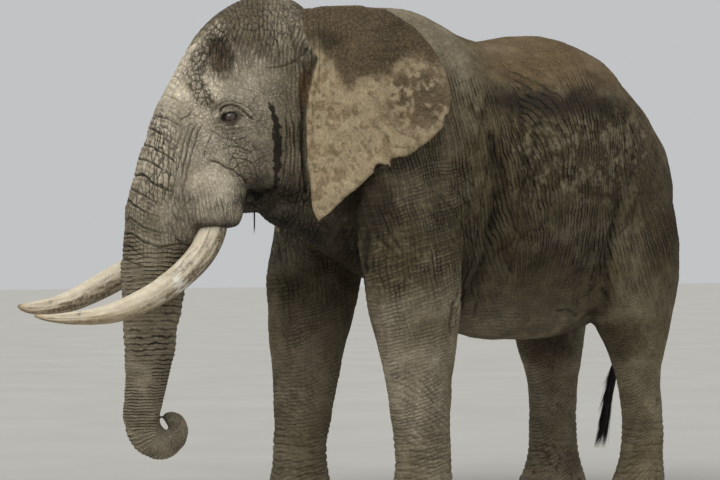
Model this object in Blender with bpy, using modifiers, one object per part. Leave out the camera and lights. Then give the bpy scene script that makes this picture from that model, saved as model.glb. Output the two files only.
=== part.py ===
"""African savanna elephant bull, life size, standing still with the tip of its trunk curled.

The body faces -Y, its left side is +X and +Z is up. All sizes are in metres.
The head has a frame of its own (forward, left, height), because it is turned a little to its right.
Lofted limbs are joined into one flesh by a voxel remesh, and thin cuts part that flesh into nodes.
"""

import math
from typing import NamedTuple

import bmesh
import bpy
import numpy as np
from mathutils import Matrix, Vector

# Stance and head.
HEAD_PIVOT = Vector((0.0, -0.55, 0.0))
HEAD_TURN = math.radians(15)
SIDES = {"left": 1, "right": -1}
FRONT_FOOT_Y = {"left": -0.12, "right": -0.52}
HIND_FOOT_Y = {"left": 1.81, "right": 1.61}
SHOULDER_Y = {"left": -0.26, "right": -0.35}
HIP_Y = 1.58
EAR_SPREAD = {"left": math.radians(13), "right": math.radians(38)}
EAR_THICKNESS = 0.026
EYE_RADIUS = 0.033
TRUNK_TOP = 1.60
CURL_MIDDLE = (1.112, 0.585)

# How finely the flesh is joined, smoothed and faceted.
VOXEL = 0.022
SMOOTHING = 16
CUT_TRIANGLES = 16000
HEAD_TRIANGLES = 1120
BODY_TRIANGLES = 3150
GAP = 0.0003

X = Vector((1, 0, 0))
Y = Vector((0, 1, 0))
UP = Vector((0, 0, 1))
FORWARD = Vector((-math.sin(HEAD_TURN), -math.cos(HEAD_TURN), 0))
LEFT = Vector((math.cos(HEAD_TURN), -math.sin(HEAD_TURN), 0))

SKIN = ("elephant_skin", (0.20, 0.165, 0.13), 0.9)
EAR_SKIN = ("ear_skin", (0.25, 0.20, 0.15), 0.9)
IVORY = ("ivory", (0.72, 0.62, 0.45), 0.4)
HORN = ("toenail_horn", (0.33, 0.25, 0.19), 0.6)
EYEBALL = ("eyeball", (0.03, 0.02, 0.015), 0.1)
HAIR = ("tail_hair", (0.02, 0.017, 0.015), 0.7)


class Ring(NamedTuple):
    """A cross-section of a limb: its centre, half sizes and outline.

    wide is the half size along the limb's side axis and deep the half size across it. square is 2 for an
    ellipse and more for a boxier outline. egg above 0 narrows the +deep side, and below 0 the other one.
    """

    centre: Vector
    wide: float
    deep: float
    square: float = 2.0
    egg: float = 0.0


class Cut(NamedTuple):
    """A thin round cut through the flesh."""

    centre: Vector
    normal: Vector
    radius: float


class Swell(NamedTuple):
    """A place where the flesh swells by amount, or sinks if it is below 0, fading out at reach."""

    centre: Vector
    reach: Vector
    amount: float


def in_head(forward, left, height):
    """A point of the head's own frame, in world axes."""
    return HEAD_PIVOT + FORWARD * forward + LEFT * left + UP * height


# Basic solids.


def spline(before, start, end, after, share):
    """Catmull-Rom spline from start to end."""
    return (
        start
        + 0.5 * share * (end - before)
        + share**2 * (before - 2.5 * start + 2 * end - 0.5 * after)
        + share**3 * (1.5 * (start - end) + 0.5 * (after - before))
    )


def refined(rings, steps):
    """The rings with smooth ones added, steps to a span."""
    rows = [np.array([*r.centre, *r[1:]]) for r in rings]
    rows = [2 * rows[0] - rows[1], *rows, 2 * rows[-1] - rows[-2]]
    smooth = []
    for i in range(1, len(rows) - 2):
        smooth += [spline(*rows[i - 1 : i + 3], k / steps) for k in range(steps)]
    smooth.append(rows[-2])
    return [Ring(Vector(row[:3]), *row[3:]) for row in smooth]


def section(ring, along, side, count):
    """The points round a ring that faces along."""
    deep_axis = side.cross(along).normalized()
    side_axis = along.cross(deep_axis).normalized()
    points = []
    for i in range(count):
        angle = 2 * math.pi * i / count
        c, s = math.cos(angle), math.sin(angle)
        across = math.copysign(abs(c) ** (2 / ring.square), c)
        up = math.copysign(abs(s) ** (2 / ring.square), s)
        across *= 1 - ring.egg * up
        points.append(ring.centre + side_axis * across * ring.wide + deep_axis * up * ring.deep)
    return points


def new_object(name, bm):
    mesh = bpy.data.meshes.new(name)
    bm.to_mesh(mesh)
    bm.free()
    made = bpy.data.objects.new(name, mesh)
    bpy.context.scene.collection.objects.link(made)
    return made


def loft(name, rings, side, steps=4, count=32, facing=None):
    """A closed skin over the rings, with flat ends. Rings face along the limb, or all the way of facing."""
    rings = refined(rings, steps)
    bm = bmesh.new()
    loops = []
    for i, ring in enumerate(rings):
        along = facing or rings[min(i + 1, len(rings) - 1)].centre - rings[max(i - 1, 0)].centre
        loops.append([bm.verts.new(p) for p in section(ring, along.normalized(), side, count)])
    for near, far in zip(loops, loops[1:]):
        for k in range(count):
            after = (k + 1) % count
            bm.faces.new((near[k], near[after], far[after], far[k]))
    bm.faces.new(loops[0][::-1])
    bm.faces.new(loops[-1])
    bmesh.ops.recalc_face_normals(bm, faces=bm.faces)
    return new_object(name, bm)


def ellipsoid(name, centre, half_sizes, turn=Matrix(), segments=24):
    bm = bmesh.new()
    bmesh.ops.create_uvsphere(bm, u_segments=segments, v_segments=segments * 2 // 3, radius=1)
    shape = Matrix.Translation(centre) @ turn @ Matrix.Diagonal((*half_sizes, 1))
    bmesh.ops.transform(bm, matrix=shape, verts=bm.verts)
    return new_object(name, bm)


def slab(name, cut):
    """A disc as thin as the gap between two nodes."""
    bm = bmesh.new()
    bmesh.ops.create_cone(
        bm, cap_ends=True, segments=48, radius1=cut.radius, radius2=cut.radius, depth=GAP
    )
    place = Matrix.Translation(cut.centre) @ cut.normal.to_track_quat("Z", "Y").to_matrix().to_4x4()
    bmesh.ops.transform(bm, matrix=place, verts=bm.verts)
    return new_object(name, bm)


def joined(name, objects):
    """One object that holds the meshes of all the others, which it removes."""
    bm = bmesh.new()
    for obj in objects:
        bm.from_mesh(obj.data)
        bpy.data.objects.remove(obj)
    return new_object(name, bm)


def applied(obj):
    """Turns the object's modifiers into its mesh."""
    bpy.context.view_layer.update()
    graph = bpy.context.evaluated_depsgraph_get()
    mesh = bpy.data.meshes.new_from_object(obj.evaluated_get(graph))
    obj.modifiers.clear()
    obj.data = mesh
    return obj


def boolean(obj, tool, operation="DIFFERENCE", solver="EXACT"):
    modifier = obj.modifiers.new(operation.lower(), "BOOLEAN")
    modifier.operation = operation
    modifier.solver = solver
    modifier.object = tool
    return applied(obj)


def reduced(obj, ratio):
    """Fewer and larger triangles."""
    fewer = obj.modifiers.new("fewer", "DECIMATE")
    fewer.ratio = ratio
    return one_body(applied(obj))


def grown(obj, by=GAP):
    """A copy of the object, larger by the given amount all round."""
    bm = bmesh.new()
    bm.from_mesh(obj.data)
    bm.normal_update()
    for vert, normal in [(v, v.normal.copy()) for v in bm.verts]:
        vert.co += normal * by
    return new_object(obj.name + "_grown", bm)


def islands(bm):
    """The lists of faces that hang together, largest area first."""
    bm.faces.index_update()
    found, seen = [], set()
    for start in bm.faces:
        if start.index in seen:
            continue
        seen.add(start.index)
        island = [start]
        for face in island:
            for edge in face.edges:
                fresh = [f for f in edge.link_faces if f.index not in seen]
                seen.update(f.index for f in fresh)
                island += fresh
        found.append(island)
    return sorted(found, key=lambda faces: -sum(f.calc_area() for f in faces))


def copied(faces):
    """The faces in a bmesh of their own, facing outwards."""
    bm = bmesh.new()
    twins = {}
    for face in faces:
        for vert in face.verts:
            if vert not in twins:
                twins[vert] = bm.verts.new(vert.co)
        bm.faces.new([twins[v] for v in face.verts])
    bmesh.ops.recalc_face_normals(bm, faces=bm.faces)
    return bm


def one_body(obj):
    """Drops loose crumbs, so that one body is left, and facets it with triangles."""
    whole = bmesh.new()
    whole.from_mesh(obj.data)
    bm = copied(islands(whole)[0])
    whole.free()
    bmesh.ops.triangulate(bm, faces=bm.faces)
    bm.to_mesh(obj.data)
    bm.free()
    return obj


# The limbs and masses that the flesh is joined from.


def torso():
    """Barrel of the body from the chest to the rump."""
    # y, top, bottom, half width, squareness, narrowing of the top
    table = [
        (-0.84, 2.62, 2.00, 0.20, 2.0, 0.05),
        (-0.72, 2.95, 1.80, 0.36, 2.1, 0.10),
        (-0.45, 3.22, 1.62, 0.50, 2.2, 0.16),
        (-0.15, 3.31, 1.47, 0.60, 2.2, 0.20),
        (0.08, 3.26, 1.36, 0.66, 2.2, 0.22),
        (0.32, 3.165, 1.22, 0.71, 2.1, 0.20),
        (0.60, 3.12, 1.12, 0.76, 2.1, 0.18),
        (0.95, 3.185, 1.09, 0.78, 2.1, 0.20),
        (1.28, 3.145, 1.11, 0.74, 2.1, 0.24),
        (1.58, 2.97, 1.20, 0.65, 2.1, 0.24),
        (1.88, 2.735, 1.36, 0.52, 2.0, 0.20),
        (2.10, 2.52, 1.56, 0.36, 2.0, 0.10),
        (2.20, 2.32, 1.80, 0.20, 2.0, 0.0),
    ]
    rings = [
        Ring(Vector((0, y, (top + bottom) / 2)), wide, (top - bottom) / 2, square, egg)
        for y, top, bottom, wide, square, egg in table
    ]
    return loft("torso_loft", rings, X, count=48, facing=-Y)


def neck():
    rings = [
        Ring(Vector((0, -0.30, 2.42)), 0.50, 0.80, 2.1, 0.2),
        Ring(Vector((-0.02, -0.60, 2.52)), 0.41, 0.73, 2.1, 0.2),
        Ring(in_head(0.20, 0, 2.60), 0.35, 0.66, 2.1, 0.1),
        Ring(in_head(0.42, 0, 2.62), 0.29, 0.54, 2.1, 0.0),
    ]
    return loft("neck_loft", rings, X)


def skull():
    """Head and root of the trunk, as level sections from the crown down."""
    # height, front, back, half width, squareness, narrowing of the back
    table = [
        (3.36, 0.50, 0.36, 0.06, 2.0, 0.0),
        (3.31, 0.65, 0.24, 0.17, 2.0, 0.0),
        (3.21, 0.80, 0.14, 0.26, 2.1, 0.0),
        (3.08, 0.92, 0.05, 0.33, 2.2, 0.0),
        (2.92, 1.015, 0.02, 0.365, 2.2, -0.05),
        (2.70, 1.135, 0.02, 0.375, 2.2, -0.14),
        (2.55, 1.21, 0.04, 0.375, 2.1, -0.22),
        (2.40, 1.262, 0.10, 0.365, 2.1, -0.27),
        (2.24, 1.312, 0.26, 0.34, 2.1, -0.25),
        (2.14, 1.34, 0.40, 0.315, 2.1, -0.20),
        (2.05, 1.36, 0.64, 0.28, 2.1, -0.14),
        (1.95, 1.378, 0.87, 0.26, 2.1, -0.08),
        (1.82, 1.392, 0.95, 0.235, 2.1, -0.04),
        (1.69, 1.402, 0.985, 0.214, 2.0, 0.0),
        (1.53, 1.409, 1.00, 0.203, 2.0, 0.0),
        (1.40, 1.409, 1.01, 0.195, 2.0, 0.0),
    ]
    rings = [
        Ring(in_head((front + back) / 2, 0, height), wide, (front - back) / 2, square, egg)
        for height, front, back, wide, square, egg in table
    ]
    return loft("skull_loft", rings, LEFT, count=40, facing=-UP)


def throat():
    """The bag of skin below the jaw muscles."""
    rings = [
        Ring(in_head(0.16, 0, 2.32), 0.30, 0.30),
        Ring(in_head(0.30, 0, 2.21), 0.27, 0.29),
        Ring(in_head(0.40, 0, 2.22), 0.23, 0.24),
        Ring(in_head(0.50, 0, 2.27), 0.17, 0.15),
    ]
    return loft("throat_loft", rings, LEFT)


def tusk_sheath(side):
    """The bulge of the upper jaw that a tusk grows from."""
    sign = SIDES[side]
    rings = [
        Ring(in_head(0.93, 0.14 * sign, 2.66), 0.06, 0.08),
        Ring(in_head(0.94, 0.19 * sign, 2.42), 0.115, 0.17),
        Ring(in_head(0.91, 0.225 * sign, 2.22), 0.135, 0.215),
        Ring(in_head(0.885, 0.245 * sign, 2.05), 0.140, 0.215),
        Ring(in_head(0.87, 0.25 * sign, 1.93), 0.136, 0.185),
        Ring(in_head(0.87, 0.25 * sign, 1.85), 0.120, 0.155),
    ]
    return loft(f"sheath_loft_{side}", rings, LEFT, facing=-UP)


def face_masses(side):
    """Cheekbone, jaw muscle, brow and ear base of one side."""
    sign = SIDES[side]
    turn = Matrix.Rotation(-HEAD_TURN, 4, "Z")
    lean = turn @ Matrix.Rotation(math.radians(12), 4, "X")
    return [
        ellipsoid(f"cheekbone_{side}", in_head(0.60, 0.275 * sign, 2.46), (0.115, 0.30, 0.20), lean),
        ellipsoid(f"jaw_muscle_{side}", in_head(0.42, 0.24 * sign, 2.30), (0.12, 0.20, 0.25), turn),
        ellipsoid(f"brow_{side}", in_head(0.80, 0.235 * sign, 2.66), (0.118, 0.19, 0.11), turn),
        ellipsoid(f"ear_base_{side}", in_head(0.20, 0.27 * sign, 2.82), (0.14, 0.15, 0.36), turn),
        ellipsoid(f"hood_{side}", in_head(0.30, 0.27 * sign, 3.06), (0.13, 0.17, 0.15), turn),
        ellipsoid(f"lip_{side}", in_head(1.03, 0.175 * sign, 1.88), (0.085, 0.11, 0.17), turn),
    ]


def leg(name, side, table, top_y, foot_y, thick=1.0):
    """A leg from its rows of height, share of the way to the foot, x, half width and half depth."""
    rings = []
    for z, share, x, wide, deep in table:
        swell = thick if z < 1.15 else 1.0
        centre = Vector((SIDES[side] * x, top_y + (foot_y - top_y) * share, z))
        rings.append(Ring(centre, wide * swell, deep * swell, 2.15))
    return loft(f"{name}_{side}", rings, X, facing=-UP)


def front_leg(side):
    table = [
        (2.70, 0.0, 0.34, 0.12, 0.20),
        (2.25, 0.0, 0.42, 0.19, 0.35),
        (1.85, 0.0, 0.455, 0.225, 0.38),
        (1.42, 0.24, 0.46, 0.235, 0.335),
        (1.07, 0.5, 0.45, 0.213, 0.268),
        (0.86, 0.66, 0.44, 0.192, 0.226),
        (0.62, 0.8, 0.43, 0.178, 0.200),
        (0.42, 0.95, 0.42, 0.168, 0.182),
        (0.26, 1.0, 0.42, 0.174, 0.188),
        (0.13, 1.02, 0.42, 0.200, 0.218),
        (0.05, 1.05, 0.42, 0.215, 0.235),
        (0.0, 1.05, 0.42, 0.208, 0.228),
    ]
    return leg("front_leg", side, table, SHOULDER_Y[side], FRONT_FOOT_Y[side])


def hind_leg(side):
    table = [
        (2.48, 0.0, 0.26, 0.16, 0.24),
        (2.20, 0.0, 0.34, 0.25, 0.39),
        (1.80, 0.0, 0.395, 0.28, 0.455),
        (1.45, 0.28, 0.40, 0.25, 0.405),
        (1.20, 0.5, 0.39, 0.215, 0.29),
        (1.00, 0.7, 0.38, 0.180, 0.215),
        (0.80, 0.86, 0.37, 0.152, 0.165),
        (0.55, 1.0, 0.365, 0.144, 0.155),
        (0.30, 0.98, 0.36, 0.150, 0.164),
        (0.13, 0.88, 0.36, 0.170, 0.208),
        (0.05, 0.80, 0.36, 0.180, 0.232),
        (0.0, 0.80, 0.36, 0.172, 0.224),
    ]
    return leg("hind_leg", side, table, HIP_Y, HIND_FOOT_Y[side], {"left": 0.95, "right": 1.12}[side])


def swells():
    """Muscles and bones that stand out under the skin, and the hollows between them."""
    found = []
    for sign in SIDES.values():
        found += [
            Swell(Vector((0.50 * sign, -0.28, 2.55)), Vector((0.5, 0.30, 0.42)), 0.030),
            Swell(Vector((0.68 * sign, -0.28, 1.75)), Vector((0.4, 0.36, 0.32)), 0.030),
            Swell(Vector((0.66 * sign, 0.28, 2.15)), Vector((0.4, 0.14, 0.70)), -0.032),
            Swell(Vector((0.62 * sign, 1.72, 1.95)), Vector((0.4, 0.40, 0.45)), 0.040),
            Swell(Vector((0.62 * sign, 1.12, 1.45)), Vector((0.4, 0.16, 0.40)), -0.030),
            Swell(Vector((0.40 * sign, 1.30, 2.90)), Vector((0.3, 0.24, 0.24)), 0.030),
            Swell(in_head(0.62, 0.34 * sign, 2.86), Vector((0.28, 0.28, 0.20)), -0.025),
            Swell(in_head(0.82, 0.36 * sign, 2.42), Vector((0.18, 0.18, 0.12)), -0.012),
        ]
    return found


def shape(body):
    """Raises and sinks the skin where swells() says, and flattens the soles."""
    mesh = body.data
    places = np.empty(3 * len(mesh.vertices))
    mesh.vertices.foreach_get("co", places)
    places = places.reshape(-1, 3)
    normals = np.empty(3 * len(mesh.vertices))
    mesh.vertex_normals.foreach_get("vector", normals)
    push = np.zeros(len(places))
    for centre, reach, amount in swells():
        far = np.linalg.norm((places - np.array(centre)) / np.array(reach), axis=1)
        push += amount * np.clip(1 - far**2, 0, 1) ** 2
    places += normals.reshape(-1, 3) * push[:, None]
    places[:, 2] = np.where(places[:, 2] < 0.006, 0.0, places[:, 2])
    mesh.vertices.foreach_set("co", places.ravel())


def flesh():
    """Head, trunk root, body and legs as one closed skin."""
    pieces = [torso(), neck(), skull(), throat()]
    for side in SIDES:
        pieces += [front_leg(side), hind_leg(side), tusk_sheath(side), *face_masses(side)]
    body = joined("flesh", pieces)
    remesh = body.modifiers.new("join", "REMESH")
    remesh.mode = "VOXEL"
    remesh.voxel_size = VOXEL
    smooth = body.modifiers.new("smooth", "SMOOTH")
    smooth.factor = 0.5
    smooth.iterations = SMOOTHING
    applied(body)
    shape(body)
    return reduced(body, CUT_TRIANGLES / (2 * len(body.data.polygons)))


# Cuts that part the flesh.


def cuts():
    found = [
        Cut(in_head(0.12, 0, 2.62), FORWARD - UP * 0.30, 0.86),
        Cut(Vector((0, -0.50, 2.42)), Vector((0, -1, 0.30)), 0.98),
        Cut(Vector((0, 0.48, 2.15)), Vector((0, 1, 0)), 1.30),
        Cut(Vector((0, 1.12, 2.15)), Vector((0, 1, 0)), 1.30),
        Cut(in_head(1.20, 0, TRUNK_TOP), UP, 0.40),
    ]
    for side, sign in SIDES.items():
        front, hind = FRONT_FOOT_Y[side], HIND_FOOT_Y[side]
        elbow = SHOULDER_Y[side] * 0.76 + front * 0.24
        knee = SHOULDER_Y[side] * 0.25 + front * 0.75
        found += [
            Cut(Vector((0.49 * sign, elbow, 1.40)), Vector((-0.25 * sign, 0.42, 1)), 0.47),
            Cut(Vector((0.43 * sign, knee, 0.74)), UP, 0.34),
            Cut(Vector((0.42 * sign, front, 0.27)), UP, 0.32),
            Cut(Vector((0.42 * sign, HIP_Y + 0.08, 1.25)), Vector((-0.25 * sign, -0.4, 1)), 0.46),
            Cut(Vector((0.37 * sign, hind - 0.02, 0.86)), UP, 0.32),
            Cut(Vector((0.36 * sign, hind, 0.25)), UP, 0.30),
        ]
    return [cut._replace(normal=cut.normal.normalized()) for cut in found]


def level_caps(part, cutters, reach=0.004):
    """Puts the corners beside a cut back on its exact plane."""
    for cut in cutters:
        middle_side = math.copysign(1, (middle(part.data.polygons) - cut.centre).dot(cut.normal))
        for vert in part.data.vertices:
            away = (vert.co - cut.centre).dot(cut.normal)
            if abs(away) < reach and (vert.co - cut.centre).length < cut.radius:
                vert.co += cut.normal * (middle_side * GAP / 2 - away)


def flesh_names():
    """The name of each part of the cut flesh, and a point near its middle."""
    found = {
        "head": in_head(0.6, 0, 2.6),
        "neck": Vector((-0.05, -0.62, 2.55)),
        "shoulders": Vector((0, 0, 2.4)),
        "barrel": Vector((0, 0.8, 2.1)),
        "rump": Vector((0, 1.6, 2.2)),
    }
    for side, sign in SIDES.items():
        front, hind = FRONT_FOOT_Y[side], HIND_FOOT_Y[side]
        found |= {
            f"front_leg_upper_{side}": Vector((0.45 * sign, (front + SHOULDER_Y[side]) / 2, 1.1)),
            f"front_leg_lower_{side}": Vector((0.42 * sign, front, 0.5)),
            f"front_foot_{side}": Vector((0.42 * sign, front, 0.12)),
            f"hind_leg_upper_{side}": Vector((0.39 * sign, HIP_Y + 0.1, 1.1)),
            f"hind_leg_lower_{side}": Vector((0.37 * sign, hind, 0.55)),
            f"hind_foot_{side}": Vector((0.36 * sign, hind, 0.12)),
        }
    return found


def middle(faces):
    """The mean of the middles of faces, which are a bmesh's or a mesh's."""
    places = [f.calc_center_median() if isinstance(f, bmesh.types.BMFace) else f.center for f in faces]
    return sum(places, Vector()) / len(places)


def cut_up(whole, cutters):
    """The object with thin gaps where the cuts are."""
    for cut in cutters:
        cutter = slab("cutter", cut)
        boolean(whole, cutter)
        bpy.data.objects.remove(cutter)
    return whole


# Trunk, tusks, ears and the small parts.


def trunk_rings():
    """The trunk from below the tusks to the end of its curled tip."""
    # forward, height, half width, half depth
    stem = [
        (1.205, 1.64, 0.210, 0.209),
        (1.205, 1.53, 0.203, 0.204),
        (1.21, 1.40, 0.194, 0.194),
        (1.22, 1.25, 0.178, 0.177),
        (1.225, 1.12, 0.163, 0.162),
        (1.24, 0.96, 0.148, 0.146),
        (1.26, 0.81, 0.132, 0.131),
        (1.278, 0.68, 0.119, 0.119),
    ]
    rings = [Ring(in_head(forward, 0, height), wide, deep) for forward, height, wide, deep in stem]
    # turn round the curl's middle in degrees, distance from it, half thickness
    curl = [
        (0, 0.153, 0.114),
        (34, 0.128, 0.112),
        (78, 0.108, 0.097),
        (117, 0.092, 0.081),
        (148, 0.077, 0.068),
        (175, 0.070, 0.062),
        (212, 0.063, 0.054),
        (250, 0.059, 0.046),
        (273, 0.065, 0.037),
        (292, 0.076, 0.020),
    ]
    rings += [Ring(in_curl(degrees, reach), thick, thick) for degrees, reach, thick in curl]
    return rings


def in_curl(degrees, reach):
    """A point of the trunk tip's curl, which turns down and back from in front of its middle."""
    turn = math.radians(degrees)
    return in_head(CURL_MIDDLE[0] + reach * math.cos(turn), 0, CURL_MIDDLE[1] - reach * math.sin(turn))


def trunk():
    """The trunk below the head's own part of it, in four lengths."""
    whole = loft("trunk", trunk_rings(), LEFT, steps=2, count=14)
    cutters = [
        Cut(in_head(1.20, 0, TRUNK_TOP), UP, 0.4),
        Cut(in_head(1.225, 0, 1.18), UP, 0.3),
        Cut(in_head(1.26, 0, 0.86), UP, 0.3),
        Cut(in_curl(93, 0.107), FORWARD, 0.10),
    ]
    cut_up(whole, cutters)
    names = {
        "trunk_upper": in_head(1.21, 0, 1.40),
        "trunk_middle": in_head(1.24, 0, 1.02),
        "trunk_lower": in_head(1.26, 0, 0.65),
        "trunk_tip": in_head(1.05, 0, 0.55),
    }
    return pick(whole, names)


def tusk(side):
    # forward, outwards, height, radius
    stations = {
        "left": [
            (0.865, 0.247, 1.98, 0.076),
            (0.885, 0.252, 1.84, 0.088),
            (0.955, 0.266, 1.70, 0.087),
            (1.075, 0.286, 1.575, 0.084),
            (1.220, 0.300, 1.468, 0.080),
            (1.370, 0.303, 1.385, 0.074),
            (1.520, 0.297, 1.328, 0.063),
            (1.660, 0.285, 1.300, 0.051),
            (1.810, 0.270, 1.290, 0.038),
            (1.940, 0.255, 1.293, 0.023),
            (2.025, 0.245, 1.308, 0.008),
        ],
        "right": [
            (0.870, 0.247, 1.98, 0.074),
            (0.885, 0.252, 1.84, 0.088),
            (0.960, 0.268, 1.745, 0.090),
            (1.130, 0.290, 1.645, 0.089),
            (1.340, 0.300, 1.548, 0.087),
            (1.500, 0.297, 1.462, 0.079),
            (1.670, 0.285, 1.385, 0.066),
            (1.825, 0.270, 1.350, 0.052),
            (1.950, 0.258, 1.345, 0.036),
            (2.018, 0.248, 1.357, 0.012),
        ],
    }[side]
    rings = [Ring(in_head(f, out * SIDES[side], z), radius, radius) for f, out, z, radius in stations]
    return one_body(loft(f"tusk_{side}", rings, LEFT, steps=1, count=12))


def lower_jaw():
    rings = [
        Ring(in_head(0.38, 0, 2.13), 0.21, 0.17),
        Ring(in_head(0.54, 0, 2.10), 0.195, 0.15),
        Ring(in_head(0.67, 0, 2.06), 0.15, 0.12),
        Ring(in_head(0.78, 0, 2.02), 0.09, 0.085),
        Ring(in_head(0.86, 0, 1.98), 0.035, 0.035),
    ]
    return loft("lower_jaw", rings, LEFT, steps=1, count=16)


def ear(side):
    """A thin, bowed ear. Its outline is in distance back from the hinge and height."""
    outline = [
        (-0.06, 3.245), (0.10, 3.262), (0.27, 3.262), (0.44, 3.235), (0.55, 3.19), (0.64, 3.13), (0.73, 3.03),
        (0.81, 2.91), (0.87, 2.76), (0.883, 2.62), (0.872, 2.575), (0.846, 2.565), (0.84, 2.49),
        (0.735, 2.413),
        (0.66, 2.35), (0.60, 2.311), (0.54, 2.304), (0.480, 2.291), (0.478, 2.232), (0.435, 2.262),
        (0.38, 2.250), (0.375, 2.195), (0.271, 2.10), (0.194, 2.042), (0.105, 1.941), (0.028, 1.884),
        (0.003, 1.966), (-0.004, 2.092), (-0.030, 2.30), (-0.036, 2.50), (-0.03, 2.75), (-0.04, 3.0),
    ]  # fmt: skip
    bm = bmesh.new()
    bm.faces.new([bm.verts.new((u, 0, z)) for u, z in outline])
    for axis, marks in ((X, (0.0, 0.2, 0.4, 0.6, 0.78)), (UP, (2.1, 2.4, 2.7, 3.0, 3.15))):
        for mark in marks:
            geometry = bm.verts[:] + bm.edges[:] + bm.faces[:]
            bmesh.ops.bisect_plane(bm, geom=geometry, plane_co=axis * mark, plane_no=axis)
    sign, spread = SIDES[side], EAR_SPREAD[side]
    for vert in bm.verts:
        u, z = vert.co.x, vert.co.z
        bow = 0.05 * math.sin(math.pi * min(max(u, 0) / 0.88, 1))
        bow -= 0.9 * max(0, z - 3.0) * max(0, 0.35 - u)
        back = math.cos(spread) * u - math.sin(spread) * bow
        out = math.sin(spread) * u + math.cos(spread) * bow
        vert.co = in_head(0.27 - back, (0.42 + out) * sign, z)
    flap = new_object(f"ear_{side}", bm)
    solid = flap.modifiers.new("thickness", "SOLIDIFY")
    solid.thickness = EAR_THICKNESS
    solid.offset = 0
    applied(flap)
    bm = bmesh.new()
    bm.from_mesh(flap.data)
    bmesh.ops.recalc_face_normals(bm, faces=bm.faces)
    bm.to_mesh(flap.data)
    bm.free()
    return flap


def skin_point(body, start, direction):
    """Where a line from start first meets the skin."""
    hit, place, _, _ = body.ray_cast(start, direction)
    if not hit:
        raise ValueError(f"no skin seen from {tuple(start)}")
    return place


def eye(body, side):
    away = LEFT * SIDES[side]
    place = skin_point(body, in_head(0.792, 0, 2.55) + away, -away)
    return ellipsoid(f"eye_{side}", place - away * EYE_RADIUS * 0.55, (EYE_RADIUS,) * 3, segments=10)


def toenails(foot, side):
    """The nails of a foot, by name, set round its front edge."""
    sign = SIDES[side]
    middle_of, half_sizes, spread, count = {
        "front": (Vector((0.42 * sign, FRONT_FOOT_Y[side] - 0.005, 0)), (0.206, 0.222), 40, 4),
        "hind": (Vector((0.36 * sign, HIND_FOOT_Y[side] - 0.01, 0)), (0.172, 0.208), 46, 3),
    }[foot]
    if foot == "hind" and side == "right":
        half_sizes = (0.190, 0.232)
    nails = []
    for i in range(count):
        turn = math.radians(spread * (i - (count - 1) / 2))
        place = middle_of + Vector((half_sizes[0] * math.sin(turn), -half_sizes[1] * math.cos(turn), 0.068))
        size = 0.054 if abs(turn) < 0.5 else 0.046
        facing = Matrix.Rotation(turn, 4, "Z")
        name = f"toenail_{foot}_{side}_{i + 1}"
        nails.append(ellipsoid(name, place, (size, 0.026, 0.052), facing, segments=8))
    return nails


def tail():
    # x, y, z, radius
    stations = [
        (0.0, 1.98, 2.60, 0.085),
        (0.0, 2.13, 2.50, 0.080),
        (-0.01, 2.225, 2.32, 0.064),
        (-0.04, 2.27, 2.05, 0.050),
        (-0.10, 2.275, 1.72, 0.038),
        (-0.18, 2.25, 1.38, 0.030),
        (-0.25, 2.20, 1.10, 0.025),
        (-0.30, 2.16, 0.93, 0.023),
    ]
    rings = [Ring(Vector(place), radius, radius * 0.85) for *place, radius in stations]
    return loft("tail", rings, X, steps=1, count=9)


def tail_tuft():
    stations = [
        (-0.302, 2.158, 0.92, 0.022),
        (-0.335, 2.130, 0.76, 0.042),
        (-0.358, 2.108, 0.56, 0.046),
        (-0.372, 2.100, 0.40, 0.032),
        (-0.380, 2.098, 0.28, 0.008),
    ]
    rings = [Ring(Vector(place), radius, radius * 0.7) for *place, radius in stations]
    return loft("tail_tuft", rings, X, steps=2, count=8)


# Putting it together.


def pick(whole, names):
    """The pieces of an object that came apart, as objects named for the point nearest their middle."""
    bm = bmesh.new()
    bm.from_mesh(whole.data)
    pieces = islands(bm)
    parts = {}
    for name, place in names.items():
        nearest = min(pieces, key=lambda faces: (middle(faces) - place).length)
        parts[name] = one_body(new_object(name, copied(nearest)))
    bm.free()
    bpy.data.objects.remove(whole)
    return parts


def fit(piece, around, solver="EXACT"):
    """Cuts around out of the piece, with the gap between them, and keeps the piece's largest part."""
    tool = grown(around)
    boolean(piece, tool, solver=solver)
    bpy.data.objects.remove(tool)
    return one_body(piece)


def material(name, colour, roughness):
    made = bpy.data.materials.new(name)
    made.use_nodes = True
    shader = made.node_tree.nodes["Principled BSDF"]
    shader.inputs["Base Color"].default_value = (*colour, 1)
    shader.inputs["Roughness"].default_value = roughness
    made.diffuse_color = (*colour, 1)
    return made


def centred(objects):
    """Moves the objects together, so that the origin is below the middle of them all."""
    corners = [Vector(corner) for obj in objects for corner in obj.bound_box]
    ends = [[pick_end(c[i] for c in corners) for pick_end in (min, max)] for i in (0, 1)]
    move = Matrix.Translation([-sum(pair) / 2 for pair in ends] + [0])
    for obj in objects:
        obj.data.transform(move)


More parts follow.
